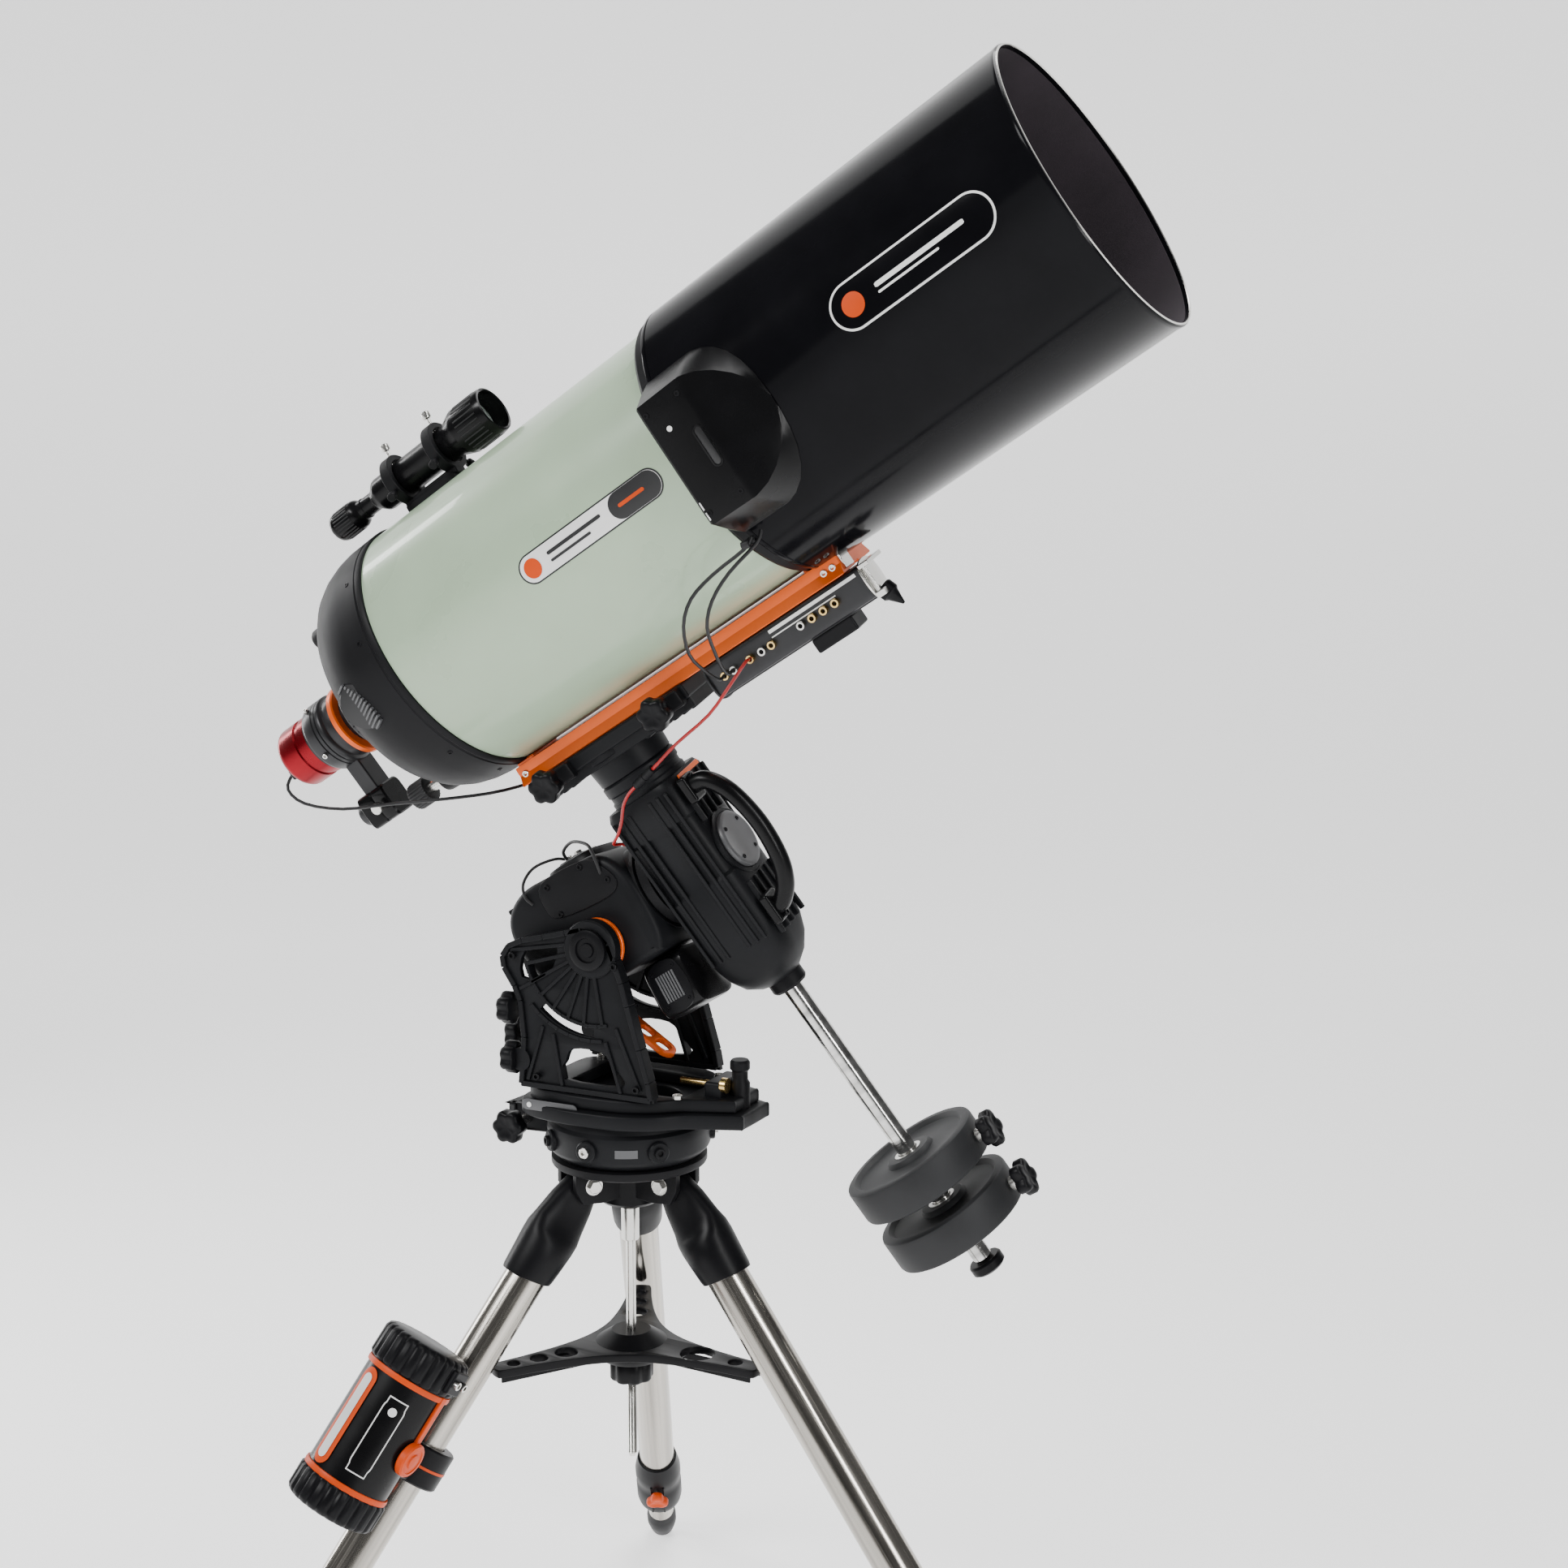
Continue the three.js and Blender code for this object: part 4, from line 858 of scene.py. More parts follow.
# ---------------------------------------------------------------- saddle, dovetail and controller
def saddle():
    x = SADDLE_TOP
    plates = [(x, x + 18, -58, 52, -91, 139), (x - 18, x + 22, 55, 70, -91, 139)]
    body = blocks("saddle_plate", plates, DEC, CAST, "declination", 3)
    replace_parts(body, "saddle")
    pads = [(x + 1, x + 22, -69, -55, z - 26, z + 26) for z in (-62, 108)]
    blocks("saddle_clamp_pads", pads, DEC, MATTE, "declination", 3)
    ribs = [(x + 16, x + 32, -50, 50, z - 3, z + 3) for z in (-84, -70, -56, 62, 76, 90, 104, 118, 132)]
    blocks("saddle_ribs", ribs, DEC, CAST, "declination", 1.4)
    blocks("saddle_rails", [(x + 16, x + 30, y - 3, y + 3, -88, 136) for y in (-50, 50)], DEC, CAST,
           "declination", 1.4)
    neck = [(12, x + 16), (56, x + 16), (56, x + 24), (50, x + 28), (48, -139), (48, -136.4), (12, -136.4)]
    lathe("saddle_neck", neck, DEC @ turn("Y", 90), CAST, "declination", 128)
    socket_screws("saddle_bolts", circle(30, 0, 6, math.radians(30)), 4.5, 5,
                  DEC @ move(x + 24, 0, 0) @ turn("Y", 90), PLASTIC, "declination")
    for k, z in ((1, -62), (2, 108)):
        place = DEC @ move(x + 11, -82, z) @ turn("X", 90)
        wheel = star_knob(f"saddle_wheel_{k}", 20, 18, 6, place, PLASTIC, f"saddle_knob_{k}")
        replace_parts(wheel, f"saddle_knob_{k}")
        lathe(f"saddle_screw_{k}", [(5.8, -34), (6, -32), (6, 1)], place, ZINC, f"saddle_knob_{k}", 24)


def dovetail():
    low, high = BAR_TOP, BAR_TOP + 23
    section = [(low, -43), (low + 5, -44), (low + 11, -44), (high - 1.2, -51.4), (high, -50.6), (high, -9),
               (high - 3, -7), (high - 3, 7), (high, 9), (high, 50.6), (high - 1.2, 51.4), (low + 11, 44),
               (low + 5, 44), (low, 43), (low + 0.6, 0)]
    bm = bmesh.new()
    rings = [[(low + 11 + (x - low - 11) * s, y * s, z) for x, y in section]
             for z, s in ((-112, 0.97), (-111, 1.0), (373, 1.0), (374, 0.97))]
    ring_loft(bm, rings)
    bar = finish_mesh("dovetail_rail", bm, DEC, ORANGE, "tube", 20)
    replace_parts(bar, "dovetail_bar")
    for k, z in enumerate((-100, 340)):
        blocks(f"dovetail_shoe_{k + 1}", [(low - 4, low + 3, -34, 34, z - 12, z + 14)], DEC, ORANGE, "tube",
               2)
    side = DEC @ move(low + 11, -46, 0) @ turn("X", 90)
    socket_screws("dovetail_screws", [(0, -102, -3), (0, 364, -3), (0, 352, -3)], 4.2, 3.4, side, ZINC,
                  "tube")
    blocks("dovetail_end_bracket", [(low + 2, high - 3, -40, -14, 372, 377)], DEC, ZINC, "tube", 1)


def controller():
    x, y = -169.4, -30
    layers = [(z, 20 * s, 23 * s) for z, s in ((168.5, 0.94), (170, 1), (390, 1), (391.5, 0.94))]
    body = rounded_stack("controller_case", layers, 9, (x, y), DEC, ANODISED, "tube", 26)
    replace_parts(body, "power_controller")
    fins = [(x + 19, x + 21.4, y + d - 1, y + d + 1, 172, 388) for d in range(-16, 17, 4)]
    blocks("controller_fins", fins, DEC, ANODISED, "tube", 0.5)
    blocks("controller_stripe", [(x - 15, x - 11, -53.6, -52.6, 262, 384)], DEC, WHITE, "tube", 0.3)
    blocks("controller_stripe_2", [(x - 7, x - 5.6, -53.5, -52.6, 262, 352)], DEC, WHITE, "tube", 0.2)
    for k, z in enumerate((190, 203, 227, 244, 258, 300, 316, 332, 348)):
        place = DEC @ move(x, -52.4, z) @ turn("X", 90)
        mat = BRASS if k % 2 == 0 or k > 5 else ZINC
        lathe(f"controller_socket_{k + 1}", [(2.6, 0), (5, 0), (5, 5), (4.6, 6.6), (2.8, 6.6), (2.6, 3)],
              place, mat, "tube", 32, closed=True)
    for k, z in enumerate((168.4, 391.4)):
        plate(f"controller_end_{k + 1}", [curved([(-19, -22), (19, -22), (19, 22), (-19, 22)], 8)], -1.2,
              1.2, DEC @ move(x, y, z), ZINC if k else ANODISED, "tube", 0.6)
    arms = [(x - 20, x - 15, -56, -6, 392, 406), (x + 15, x + 22, -56, -40, 392, 404),
            (x - 20, x + 22, -50, -42, 393, 398)]
    blocks("controller_bracket", arms, DEC, ZINC, "tube", 1)
    cone = [(1, 0), (9, 0), (11, 2), (11, 12), (8, 15), (4, 24), (1.5, 30)]
    lathe("controller_bracket_knob", cone, DEC @ move(x + 14, -36, 396) @ turn("Y", 70), PLASTIC, "tube",
          48)
    blocks("controller_hub_box", [(x + 21, x + 38, -50, -12, 296, 352)], DEC, PLASTIC, "tube", 2.5)


# ---------------------------------------------------------------- optical tube
def tube():
    wall = [(TUBE_R, -95.5), (TUBE_R, 330), (TUBE_R - 3, 330), (TUBE_R - 3, -95.5)]
    body = lathe("tube_wall", wall, OPTICS, SAGE, "tube", 192, closed=True)
    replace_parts(body, "main_tube")
    wrapped("tube_label_border", TUBE_R, -95, 106, 310, 34, 0.25, OPTICS, BLACK_PRINT_AND_PAINTED_SHADE, "tube")
    wrapped("tube_label_face", TUBE_R, -95, 108, 308, 30.5, 0.45, OPTICS, WHITE, "tube")
    wrapped("tube_label_dark", TUBE_R, -95, 238, 307.4, 30, 0.65, OPTICS, BLACK_PRINT_AND_PAINTED_SHADE, "tube")
    wrapped("tube_label_dot", TUBE_R, -95, 113, 135, 22, 0.85, OPTICS, ORANGE_PLASTIC, "tube")
    wrapped("tube_label_line", TUBE_R, -96.4, 148, 226, 4, 0.85, OPTICS, BLACK_PRINT_AND_PAINTED_SHADE, "tube", 0.6)
    wrapped("tube_label_line_2", TUBE_R, -93.2, 148, 206, 3, 0.85, OPTICS, BLACK_PRINT_AND_PAINTED_SHADE, "tube", 0.6)
    wrapped("tube_label_accent", TUBE_R, -95, 250, 286, 4, 0.85, OPTICS, ORANGE_PLASTIC, "tube", 0.6)


def rear_cell():
    profile = [(150, -96), (158.4, -96), (159, -97), (159, -103), (158.2, -104), (158.2, -106), (159, -107),
               (158.4, -136), (156.5, -151), (152, -168), (145, -183), (134, -197), (118, -207),
               (100, -213), (76, -217), (54, -219), (52.5, -221), (52, -231), (50, -232), (30, -232),
               (30, -207), (90, -203), (140, -172), (149, -148)]
    cell = lathe("cell_dome", profile, OPTICS, MATTE, "tube", 192, closed=True)
    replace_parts(cell, "rear_cell")
    # Each vent gets a black pill under its slats as painted shade: the dark sheet stands in for the shade
    # inside the opening.
    for k, angle in enumerate(VENT_ANGLES):
        wrapped(f"cell_vent_{k + 1}", 157.3, angle, -184, -140, 62, -1.2, OPTICS, BLACK_PRINT_AND_PAINTED_SHADE, "tube")
    for k, angle in enumerate(VENT_ANGLES):
        grille = OPTICS @ turn("Z", angle) @ move(151.4, 0, -163) @ turn("Y", 17) @ turn("Z", 90)
        slats = []
        for j in range(-6, 7):
            reach = 16 * math.sqrt(max(0.05, 1 - (j / 6.8) ** 2))
            slats.append((j * 5 - 1.3, j * 5 + 1.3, -2, 4.6 - 0.055 * j * j, -reach, reach))
        blocks(f"cell_vent_slats_{k + 1}", slats, grille @ turn("Z", 180) @ turn("Y", 20), GREY, "tube",
               0.6)
        plate(f"cell_vent_frame_{k + 1}", [pill(74, 42), pill(66, 34)], -6.2, -2.2, grille @ turn("X", 90),
              MATTE, "tube", 1)
    for k, angle in enumerate(range(0, 360, 30)):
        if angle % 90:
            socket_screws(f"cell_screw_{k}", [(0, 0, -1)], 3.2, 2, around(OPTICS, 158.6, angle + 8, -118),
                          PLASTIC, "tube")
    for k, (x, y) in enumerate(((-96, 60), (-96, -60), (60, 100), (-20, 118))):
        lathe(f"cell_boss_{k + 1}", [(2, -222), (11, -222), (13, -219), (14, -200), (2, -200)],
              OPTICS @ move(x, y, 3), MATTE, "tube", 40)
    knob = OPTICS @ move(120, -20, -264)
    bm = bmesh.new()
    levels = ((0, 0.86), (1.5, 0.97), (4, 1), (24, 1), (26, 0.95), (27, 0.8), (27, 0.5))
    ring_loft(bm, [wavy_ring(z, 24 * 6, lambda a: 17 * scale * (1 - 0.06 * max(0, math.cos(24 * a))))
                   for z, scale in levels])
    wheel = finish_mesh("focus_wheel", bm, knob, RUBBER, "focus_knob", 40)
    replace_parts(wheel, "focus_knob")
    lathe("focus_shaft", [(7, 26), (7, 66)], knob, ZINC, "focus_knob", 40)
    lathe("focus_boss", [(10, -214), (16, -214), (17, -211), (18, -190), (10, -190)],
          OPTICS @ move(120, -20, 0), MATTE, "tube", 48, closed=True)


def front_group():
    ring = [(142, 332), (159, 332), (162, 336), (162, 386), (160, 389), (152, 390), (147, 390),
            (147, 372.2), (141, 372)]
    cell = lathe("front_ring", ring, OPTICS, MATTE, "tube", 192, closed=True)
    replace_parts(cell, "front_cell")
    glass = lathe("corrector_glass", [(46, 372.6), (145.4, 372.6), (145.4, 377.8), (46, 377.8)], OPTICS,
                  GLASS, "tube", 128, closed=True)
    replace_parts(glass, "corrector_plate")
    socket_screws("front_ring_screws", circle(153, 389, 8, math.radians(22.5)), 3, 2, OPTICS, ZINC, "tube")
    hub = [(0.1, 352), (36, 352), (44, 357), (45.4, 360), (45.4, 378.5), (51.5, 378.5), (52, 379.5),
           (52, 384), (49, 387), (44, 388), (40, 386.5), (0.1, 386.5)]
    secondary = lathe("secondary_cap", hub, OPTICS, MATTE, "tube", 96)
    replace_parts(secondary, "secondary_housing")
    lathe("secondary_ring", [(26, 386.2), (29, 386.2), (29, 387.6), (26, 387.6)], OPTICS, ORANGE_PLASTIC,
          "tube", 64, closed=True)
    bowl = [(32.7, -138), (141, -138), (142, -136), (142, -112), (110, -118), (70, -124.5), (32.7, -127.5)]
    mirror = lathe("primary_glass", bowl, OPTICS, MIRROR, "primary_mirror", 128, closed=True)
    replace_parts(mirror, "primary_mirror")
    steps = []
    for k in range(30):
        z = -134 + k * 8.7
        steps += [(25, z), (25.9, z + 1.2), (25.9, z + 7.4)]
    baffle = lathe("baffle", [(25, -206), (36, -206), (36, -203), (29, -202), (29, 130)] + steps[::-1],
                   OPTICS, MATTE, "tube", 64, closed=True)
    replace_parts(baffle, "baffle_tube")


def dew_shield():
    r = SHIELD_R
    outer = [(r - 2.2, 347.4), (r - 0.4, 347), (r, 348), (r, 351), (r - 0.7, 352), (r, 353), (r, 806),
             (r + 0.6, 807), (r + 0.8, 811), (r - 0.4, 813), (r - 2.6, 813), (r - 3, 811)]
    skin = lathe("shield_skin", outer + [(r - 2.2, 806), (r - 2.2, 349)], OPTICS, GLOSS, "tube", 256,
                 closed=True)
    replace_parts(skin, "dew_shield")
    lathe("shield_lining", [(r - 3.6, 350), (r - 2.3, 350), (r - 2.3, 808), (r - 3.6, 808)], OPTICS, FLOCK,
          "tube", 192, closed=True)
    lathe("shield_bright_rim", [(r - 2.8, 812.8), (r - 0.6, 812.8), (r - 0.9, 813.9), (r - 2.5, 813.9)],
          OPTICS, ZINC, "tube", 256, closed=True)
    wrapped("shield_badge_outline", r, -103, 561, 757, 50, 0.3, OPTICS, WHITE, "tube")
    wrapped("shield_badge_face", r, -103, 563.4, 754.6, 45.2, 0.6, OPTICS, GLOSS, "tube")
    wrapped("shield_badge_dot", r, -103, 575, 600, 25, 0.9, OPTICS, ORANGE_PLASTIC, "tube")
    wrapped("shield_badge_line", r, -103.8, 616, 724, 5, 0.9, OPTICS, WHITE, "tube", 0.7)
    wrapped("shield_badge_line_2", r, -101.2, 616, 690, 2.4, 0.9, OPTICS, WHITE, "tube", 0.7)


def heater():
    """Flat-faced housing with chamfered sides and a crescent nose that runs out on the shield."""
    place = OPTICS @ turn("Z", -3)
    seat = SHIELD_R + 1.1
    bm = bmesh.new()
    rings = []
    for z, height, top, base in ((344, 194, 66, 87), (345, 196.6, 68, 90), (347.5, 198, 70, 91.5),
                                 (398, 198, 71, 92), (404, 197, 71, 92), (408, 195, 70, 91.4),
                                 (420, 189, 66, 88), (434, 182, 57, 80), (446, 175.6, 45, 68),
                                 (456, 170.6, 31, 51), (462, 168.4, 18, 33), (465, 167.5, 6, 12)):
        foot, shoulder = -math.sqrt(seat ** 2 - base ** 2), -height + 0.8
        side = (base + top) / 2 + 1
        outer = [(-base, foot), (-side, (foot + shoulder) / 2), (-top, shoulder)]
        outer += [(top * k / 5, -height) for k in range(-4, 5)]
        outer += [(top, shoulder), (side, (foot + shoulder) / 2), (base, foot)]
        inner = [(base * k / 8, -math.sqrt(seat ** 2 - (base * k / 8) ** 2) + 0.2)
                 for k in range(7, -8, -1)]
        rings.append([(x, y, z) for x, y in outer + inner])
    ring_loft(bm, rings)
    shell = soften(finish_mesh("heater_shell", bm, place, SATIN, "tube", 24), 1.6, 3, 28)
    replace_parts(shell, "heater_housing")
    face = place @ move(0, -198, 0) @ turn("X", 90)
    for k, (x, z) in enumerate(((-58, 352), (58, 352), (-58, 394), (58, 394))):
        socket_screws(f"heater_screw_{k + 1}", [(x, z, -0.4)], 3, 1.6, face, MATTE, "tube")
    plate("heater_slot_rim", [pill(48, 13, 2, 391), pill(43, 8, 2, 391)], -0.4, 0.9, face, SATIN, "tube",
          0.4)
    # The black fill in the slot is painted shade: a flat dark plate stands in for the shade inside the
    # recess.
    plate("heater_slot", [pill(43, 8, 2, 391)], -0.6, 0.3, face, BLACK_PRINT_AND_PAINTED_SHADE, "tube", 0.1)
    plate("heater_mark", [arc(3, -34, 366, steps=24)], -0.2, 0.6, face, WHITE, "tube", 0.1)
    marks = [[(x, 347.5), (x + 9, 347.5), (x + 9, 349), (x, 349)] for x in (44, 56)]
    for k, mark in enumerate(marks):
        plate(f"heater_tick_{k + 1}", [mark], -0.2, 0.4, face, WHITE, "tube", 0.1)
    for k, y in enumerate((-154, -146)):
        x = -279.3
        lathe(f"heater_gland_{k + 1}", [(2.1, -8), (4, -8), (4.6, -5), (4.6, 1), (2.1, 1)],
              DEC @ move(x + 4, y - 4, 349 + 5 * k) @ turn("Y", 12), RUBBER, "tube", 32, closed=True)


def rear_port():
    flange = [(30, -240), (30, -232.4), (49, -232.4), (50, -234), (50, -238), (48, -240)]
    collar = [(28, -262), (28, -240), (49, -240), (50, -242), (50, -258), (49, -260), (44, -262)]
    neck = [(28, -276), (28, -262), (34, -262), (34, -276)]
    orange_ring = [(28, -284), (28, -275), (44, -275), (46, -276.5), (46, -282.5), (44, -284)]
    adapter = [(28, -330), (28, -284), (41, -284), (42, -286), (41, -298), (44, -300), (45, -302),
               (45, -306), (43.6, -307), (45, -308), (45, -312), (43.6, -313), (45, -314), (45, -326),
               (43, -330)]
    back = lathe("port_flange", flange, OPTICS, MATTE, "tube", 128, closed=True)
    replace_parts(back, "visual_back")
    for name, profile, mat in (("port_collar", collar, ANODISED), ("port_neck", neck, ANODISED),
                               ("port_orange_ring", orange_ring, ORANGE),
                               ("port_adapter", adapter, ANODISED)):
        lathe(name, profile, OPTICS, mat, "tube", 128, closed=True)
    bm = bmesh.new()
    for x, y, _ in circle(50, 0, 36):
        rings = [[(x + px, y + py, z) for px, py, _ in circle(1.6, 0, 8)] for z in (-257, -243)]
        ring_loft(bm, rings)
    finish_mesh("port_collar_grip", bm, OPTICS, ANODISED, "tube")
    blocks("guider_arm", [(34, 92, -16, 16, -325, -303)], OPTICS, ANODISED, "tube", 2)
    widths = ((-340, 20), (-338, 22), (-318, 22), (-316, 21), (-314, 22), (-298, 22), (-296, 20))
    rounded_stack("guider_block", [(z, w, w) for z, w in widths], 6, (104, 0), OPTICS, SATIN, "tube",
                  sides=56)
    lathe("guider_thumbscrew", [(2, 0), (3, 0), (3, 6), (7, 7), (7, 14), (6, 15), (2, 15)],
          OPTICS @ move(104, -22, -310) @ turn("X", 90), ZINC, "tube", 32)
    lathe("guider_camera", [(2, -352), (14, -352), (15, -350), (15, -340), (2, -340)],
          OPTICS @ move(104, 0, 0), ANODISED, "tube", 48)
    socket_screws("port_screws", [(0, 0, 0)], 3.4, 5, around(OPTICS, 45, -70, -318), ZINC, "tube")
    socket_screws("port_screws_2", [(0, 0, 0)], 3.4, 5, around(OPTICS, 45, -150, -318), ZINC, "tube")


def camera_body():
    shell = [(10, -384), (33, -384), (36, -382.5), (38.5, -379), (39, -376), (39, -353), (37.2, -351.6),
             (37.2, -346.4), (39, -345), (39, -332), (37.5, -330.4), (10, -330.4)]
    can = lathe("camera_can", shell, OPTICS, RED, "tube", 128)
    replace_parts(can, "imaging_camera")
    lathe("camera_front_ring", [(30, -331), (40, -331), (40, -334), (38.6, -335), (30, -335)], OPTICS,
          ANODISED, "tube", 128, closed=True)
    lathe("camera_back_plate", [(0.1, -386), (30, -386), (31.4, -385), (31.4, -383), (0.1, -383)], OPTICS,
          ANODISED, "tube", 96)
    blocks("camera_ports", [(-16, -4, -7, 7, -388, -385), (2, 18, -5, 5, -387.4, -385)], OPTICS, ZINC,
           "tube", 0.5)
    blocks("camera_plug", [(4, 18, -13, -3, -401, -384)], OPTICS, RUBBER, "tube", 2)


def finder():
    profile = [(0.1, -172), (15, -172), (16, -171), (17.6, -168), (18, -166), (18, -136), (16.5, -132),
               (13, -128), (13, -122), (12, -121), (12, -106), (13, -103), (20, -94), (21, -90), (21, 26),
               (22.5, 30), (27.5, 42), (29, 46), (29, 88), (28, 93), (26, 94), (24.6, 93), (24.6, 66),
               (0.1, 64)]
    body = lathe("finder_body", profile, FINDER, SATIN, "tube", 96)
    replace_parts(body, "finder_tube")
    lathe("finder_lens", [(0.1, 74), (14, 73.4), (24.4, 71.5), (24.4, 70), (0.1, 70)], FINDER, GLASS,
          "tube", 64)
    bm = bmesh.new()
    for k in range(28):
        a = math.radians(k * 360 / 28)
        for z0, z1, r in ((-164, -140, 17.6), (52, 84, 28.6)):
            rings = [[(r * math.cos(a) + px, r * math.sin(a) + py, z) for px, py, _ in circle(1.1, 0, 6)]
                     for z in (z0, z1)]
            ring_loft(bm, rings)
    finish_mesh("finder_knurls", bm, FINDER, RUBBER, "tube")
    lathe("finder_print_ring", [(21, 4), (21.3, 4), (21.3, 5.4), (21, 5.4)], FINDER, WHITE, "tube", 64,
          closed=True)
    hold = FINDER @ turn("Z", -13)
    screw = [(2.2, 21.6), (2.2, 39), (5, 40), (5.4, 41), (5.4, 47), (4.6, 48), (0.5, 48)]
    for k, z in enumerate((-60, 10)):
        ring = [(24, z - 7), (30, z - 7), (31, z - 6), (31, z + 6), (30, z + 7), (24, z + 7)]
        piece = lathe(f"finder_ring_{k + 1}", ring, hold, MATTE, "tube", 96, closed=True)
        if k == 0:
            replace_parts(piece, "finder_bracket")
        for j, angle in enumerate((60, 180, 300)):
            place = hold @ turn("Z", angle) @ move(0, 0, z) @ turn("Y", 90)
            lathe(f"finder_thumbscrew_{k + 1}_{j + 1}", screw, place, ZINC if angle == 180 else MATTE,
                  "tube", 20)
    blocks("finder_stalk", [(27, 37, -10, 10, -67, 17), (34, 44.5, -17, 17, -64, 14)], hold, MATTE, "tube",
           2)


# ---------------------------------------------------------------- cords
RUBBER_LEAD_R = 2
RED_LEAD_R = 1.9
DEW_LEADS = (
    ((-279.3, -154, 354), (-273, -160, 342), (-270, -168, 300), (-262, -172, 265), (-243, -168, 238),
     (-214, -135, 208), (-190, -96, 192), (-171, -76, 190), (-170, -60.4, 190)),
    ((-279.3, -146, 364), (-271, -153, 354), (-262, -163, 314), (-248, -166, 281), (-228, -160, 256),
     (-202, -125, 230), (-180, -90, 209), (-170, -74, 203), (-170, -60.4, 203)),
)
CAMERA_ROUTE = ((-360, -8, -384.4), (-360, -8, -402), (-348, -16, -414), (-322, -26, -398),
                (-290, -42, -345), (-264, -52, -280), (-236, -50, -222), (-206, -24, -172),
                (-188, 24, -150), (-182, 64, -138), (-177, 84, -112), (-176, 86, -60), (-176, 86, 80),
                (-176, 86, 140), (-174, 76, 176), (-171, 48, 194), (-169.4, 18, 198), (-169.4, -6.5, 198))
POWER_ROUTE = ((-170, -60.4, 227), (-170, -74, 227), (-160, -92, 206), (-146, -101, 168), (-139, -101, 115),
               (-131, -96, 76), (-128, -92, 60))
LOWER_ROUTE = ((-123.2, -85.6, 35.6), (-119, -76, 14), (-110, -68, -6), (-96, -64, -22), (-86, -62, -36),
               (-80, -56, -50), (-76, -44, -60), (-70, -32, -58), (-62, -26.2, -54.8))


def tied_cord(name, node, route, radius, mat):
    """A hanging cord that takes the place of its CAD solid."""
    piece = wire(name, route, radius, DEC, mat, "tube", 3)
    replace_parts(piece, node)


def power_lead():
    """Below the in-line coupler the lead goes on round the declination housing to a gland."""
    plug = wire("power_coupler_plug", ((-129.5, -94, 68), (-128, -92, 60), (-126.5, -90, 52)), 5, DEC,
                PLASTIC, "tube", 3)
    tied_cord("power_cord", "power_cable", POWER_ROUTE, RED_LEAD_R, RED_WIRE)
    wire("power_coupler_socket", ((-126.4, -89.8, 51.6), (-124.6, -87.4, 42.5), (-122.8, -85, 33.4)), 5.4,
         DEC, PLASTIC, "right_ascension", 3)
    gland = wire("power_gland", ((-50, -21, -53), (-57, -24, -54), (-64, -27, -55)), 4.6, DEC, MATTE,
                 "right_ascension", 3)
    lead = wire("power_lead_lower", LOWER_ROUTE, RED_LEAD_R, DEC, RED_WIRE, "right_ascension", 3)


def cords():
    for k, route in enumerate(DEW_LEADS):
        tied_cord(f"dew_lead_cord_{k + 1}", f"dew_lead_{k + 1}", route, RUBBER_LEAD_R, RUBBER)
    tied_cord("camera_cord", "camera_lead", CAMERA_ROUTE, RUBBER_LEAD_R, RUBBER)
    power_lead()


# ---------------------------------------------------------------- studio
CAMERA_YAW = math.radians(26.2)
CAMERA_PITCH = math.radians(82)
CAMERA_FROM_HEAD = (1.3305, -2.2771, 0.821)
FOCAL_LENGTH = 51.15


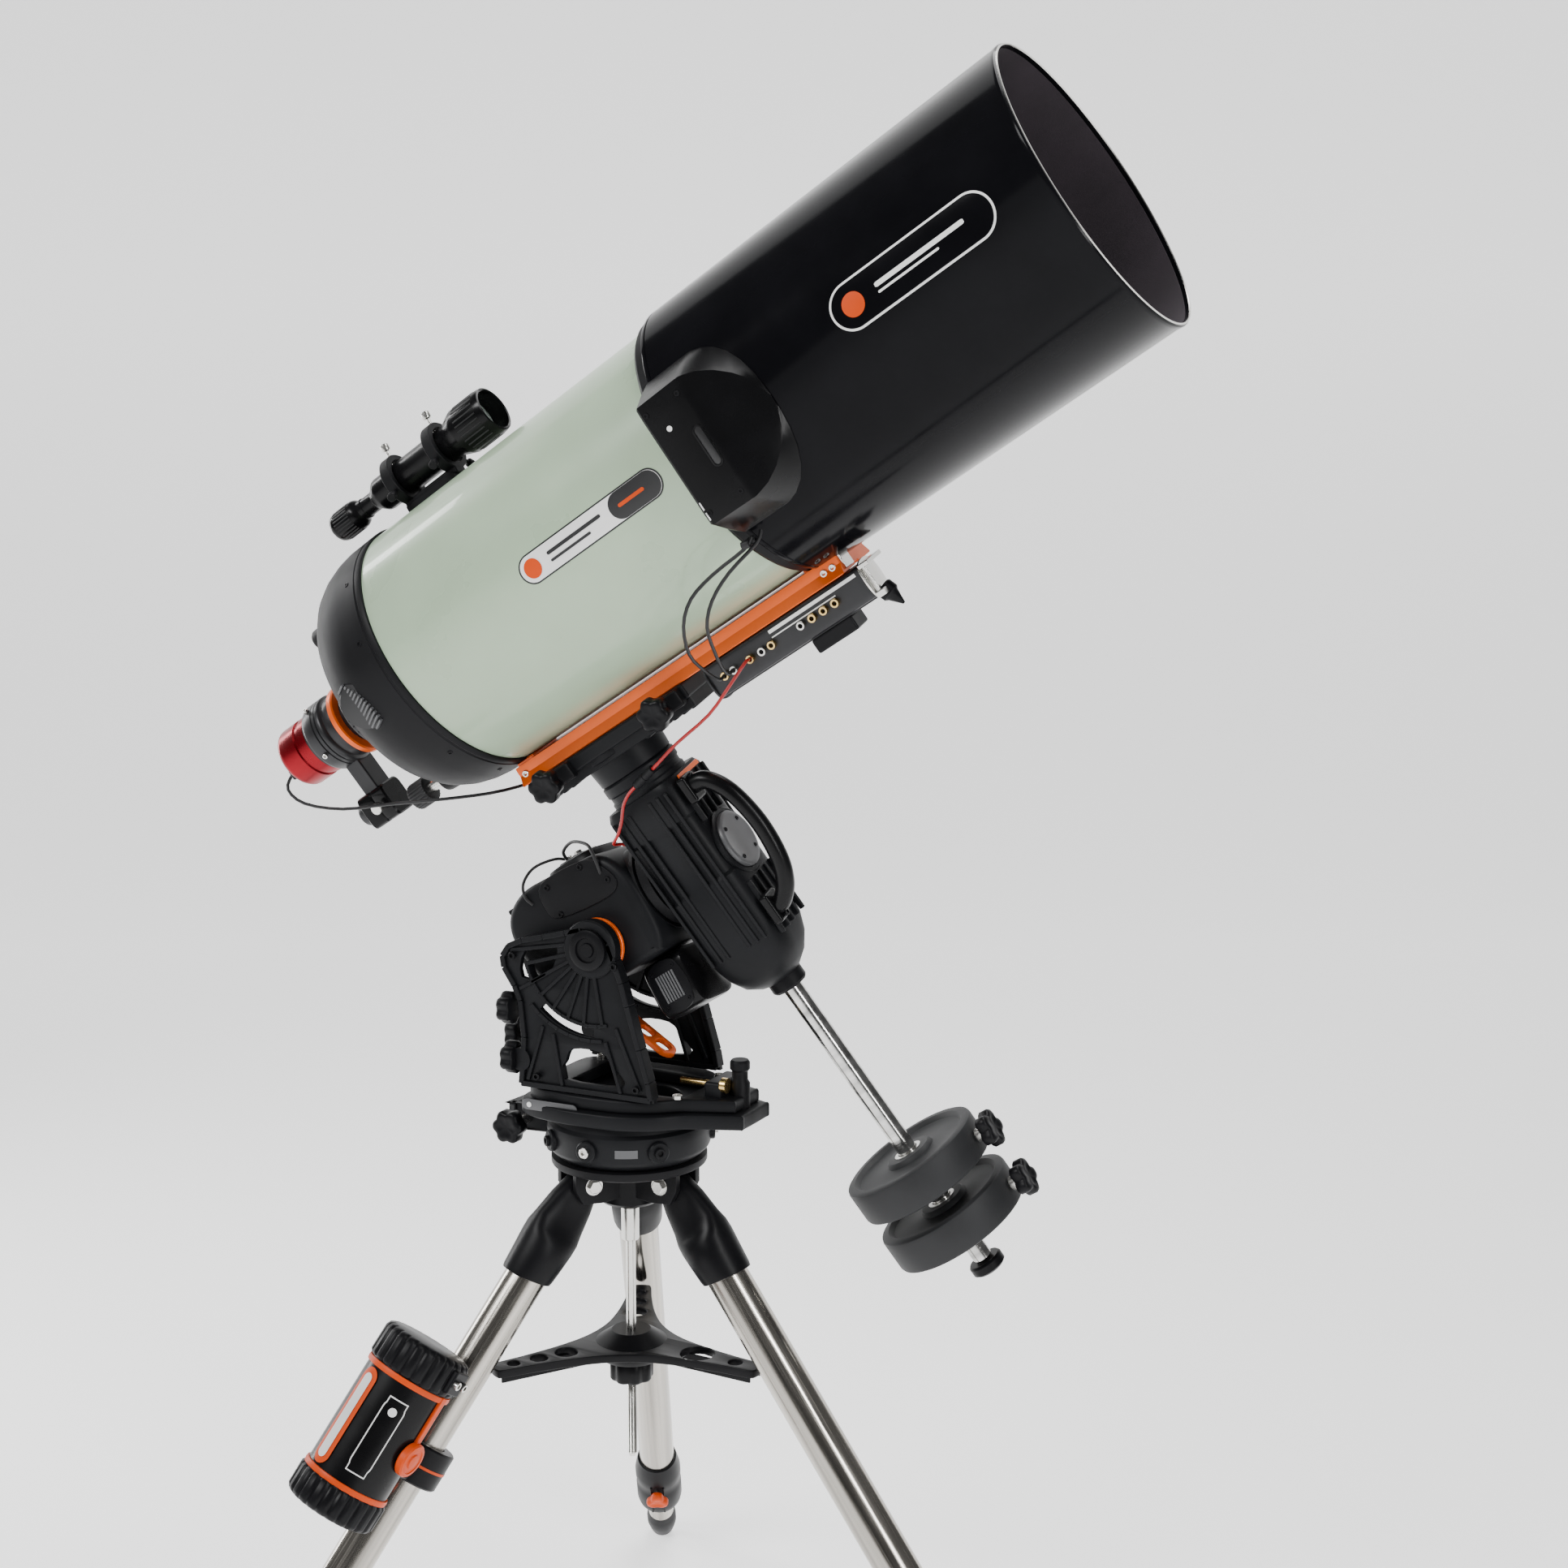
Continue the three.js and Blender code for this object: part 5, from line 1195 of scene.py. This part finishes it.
def backdrop():
    """Floor that curves up into a wall behind the telescope, square to the camera."""
    bm = bmesh.new()
    profile = [(-6, 0)] + [(5.0 + 2.4 * math.sin(math.radians(a)), 2.4 - 2.4 * math.cos(math.radians(a)))
                           for a in range(0, 91, 6)] + [(7.4, 9)]
    rows = []
    for depth, height in profile:
        row = []
        for side in (-9, 9):
            x = side * math.cos(CAMERA_YAW) - depth * math.sin(CAMERA_YAW)
            y = side * math.sin(CAMERA_YAW) + depth * math.cos(CAMERA_YAW)
            row.append(bm.verts.new((x, y, height)))
        rows.append(row)
    for low, high in zip(rows, rows[1:]):
        bm.faces.new((low[0], low[1], high[1], high[0]))
    for face in bm.faces:
        face.smooth = True
    mesh = bpy.data.meshes.new("backdrop")
    bm.to_mesh(mesh)
    bm.free()
    paper, _, shader = new_material("backdrop_paper", (0.86, 0.86, 0.86), 0.9)
    shader.inputs["Emission Color"].default_value = (1, 1, 1, 1)
    shader.inputs["Emission Strength"].default_value = 1.0
    mesh.materials.append(paper)
    sweep = bpy.data.objects.new("backdrop", mesh)
    bpy.context.scene.collection.objects.link(sweep)


def lights():
    world = bpy.data.worlds.new("studio_world")
    bpy.context.scene.world = world
    world.use_nodes = True
    world.node_tree.nodes["Background"].inputs["Color"].default_value = (1, 1, 1, 1)
    world.node_tree.nodes["Background"].inputs["Strength"].default_value = 0.12

    target = HEAD.translation + Vector((0.05, 0, 0.35))
    lamps = (("key_softbox", (-1.6, -3.2, 3.4), (2.2, 0.8), 125),
             ("right_strip", (3.0, -1.6, 2.4), (0.35, 2.6), 70),
             ("left_strip", (-3.2, 0.2, 1.8), (0.4, 2.6), 55),
             ("top_softbox", (0.4, 0.4, 3.8), (3.0, 1.2), 90))
    for name, spot, size, power in lamps:
        lamp = bpy.data.lights.new(name, "AREA")
        lamp.shape = "RECTANGLE"
        lamp.size, lamp.size_y = size
        lamp.energy = power
        holder = bpy.data.objects.new(name, lamp)
        holder.location = spot
        holder.rotation_euler = (target - Vector(spot)).to_track_quat("-Z", "Y").to_euler()
        bpy.context.scene.collection.objects.link(holder)


def photo_camera():
    lens = bpy.data.cameras.new("camera")
    lens.lens = FOCAL_LENGTH
    lens.sensor_width = 36
    camera = bpy.data.objects.new("camera", lens)
    camera.location = HEAD.translation + Vector(CAMERA_FROM_HEAD)
    camera.rotation_euler = (CAMERA_PITCH, 0, CAMERA_YAW)
    bpy.context.scene.collection.objects.link(camera)
    bpy.context.scene.camera = camera


backdrop()
lights()
photo_camera()
cords()
tripod_top()
centre_rod()
spreader_tray()
for index in range(3):
    leg(index)
power_tank()
tank_strap()
azimuth_base()
azimuth_deck()
side_plate("near", -1)
side_plate("far", 1)
mount_knobs()
altitude_link()
altitude_body()
ra_body()
ra_motor_cover()
dec_body()
carry_handle()
counterweights()
saddle()
dovetail()
controller()
tube()
rear_cell()
front_group()
dew_shield()
heater()
rear_port()
camera_body()
finder()
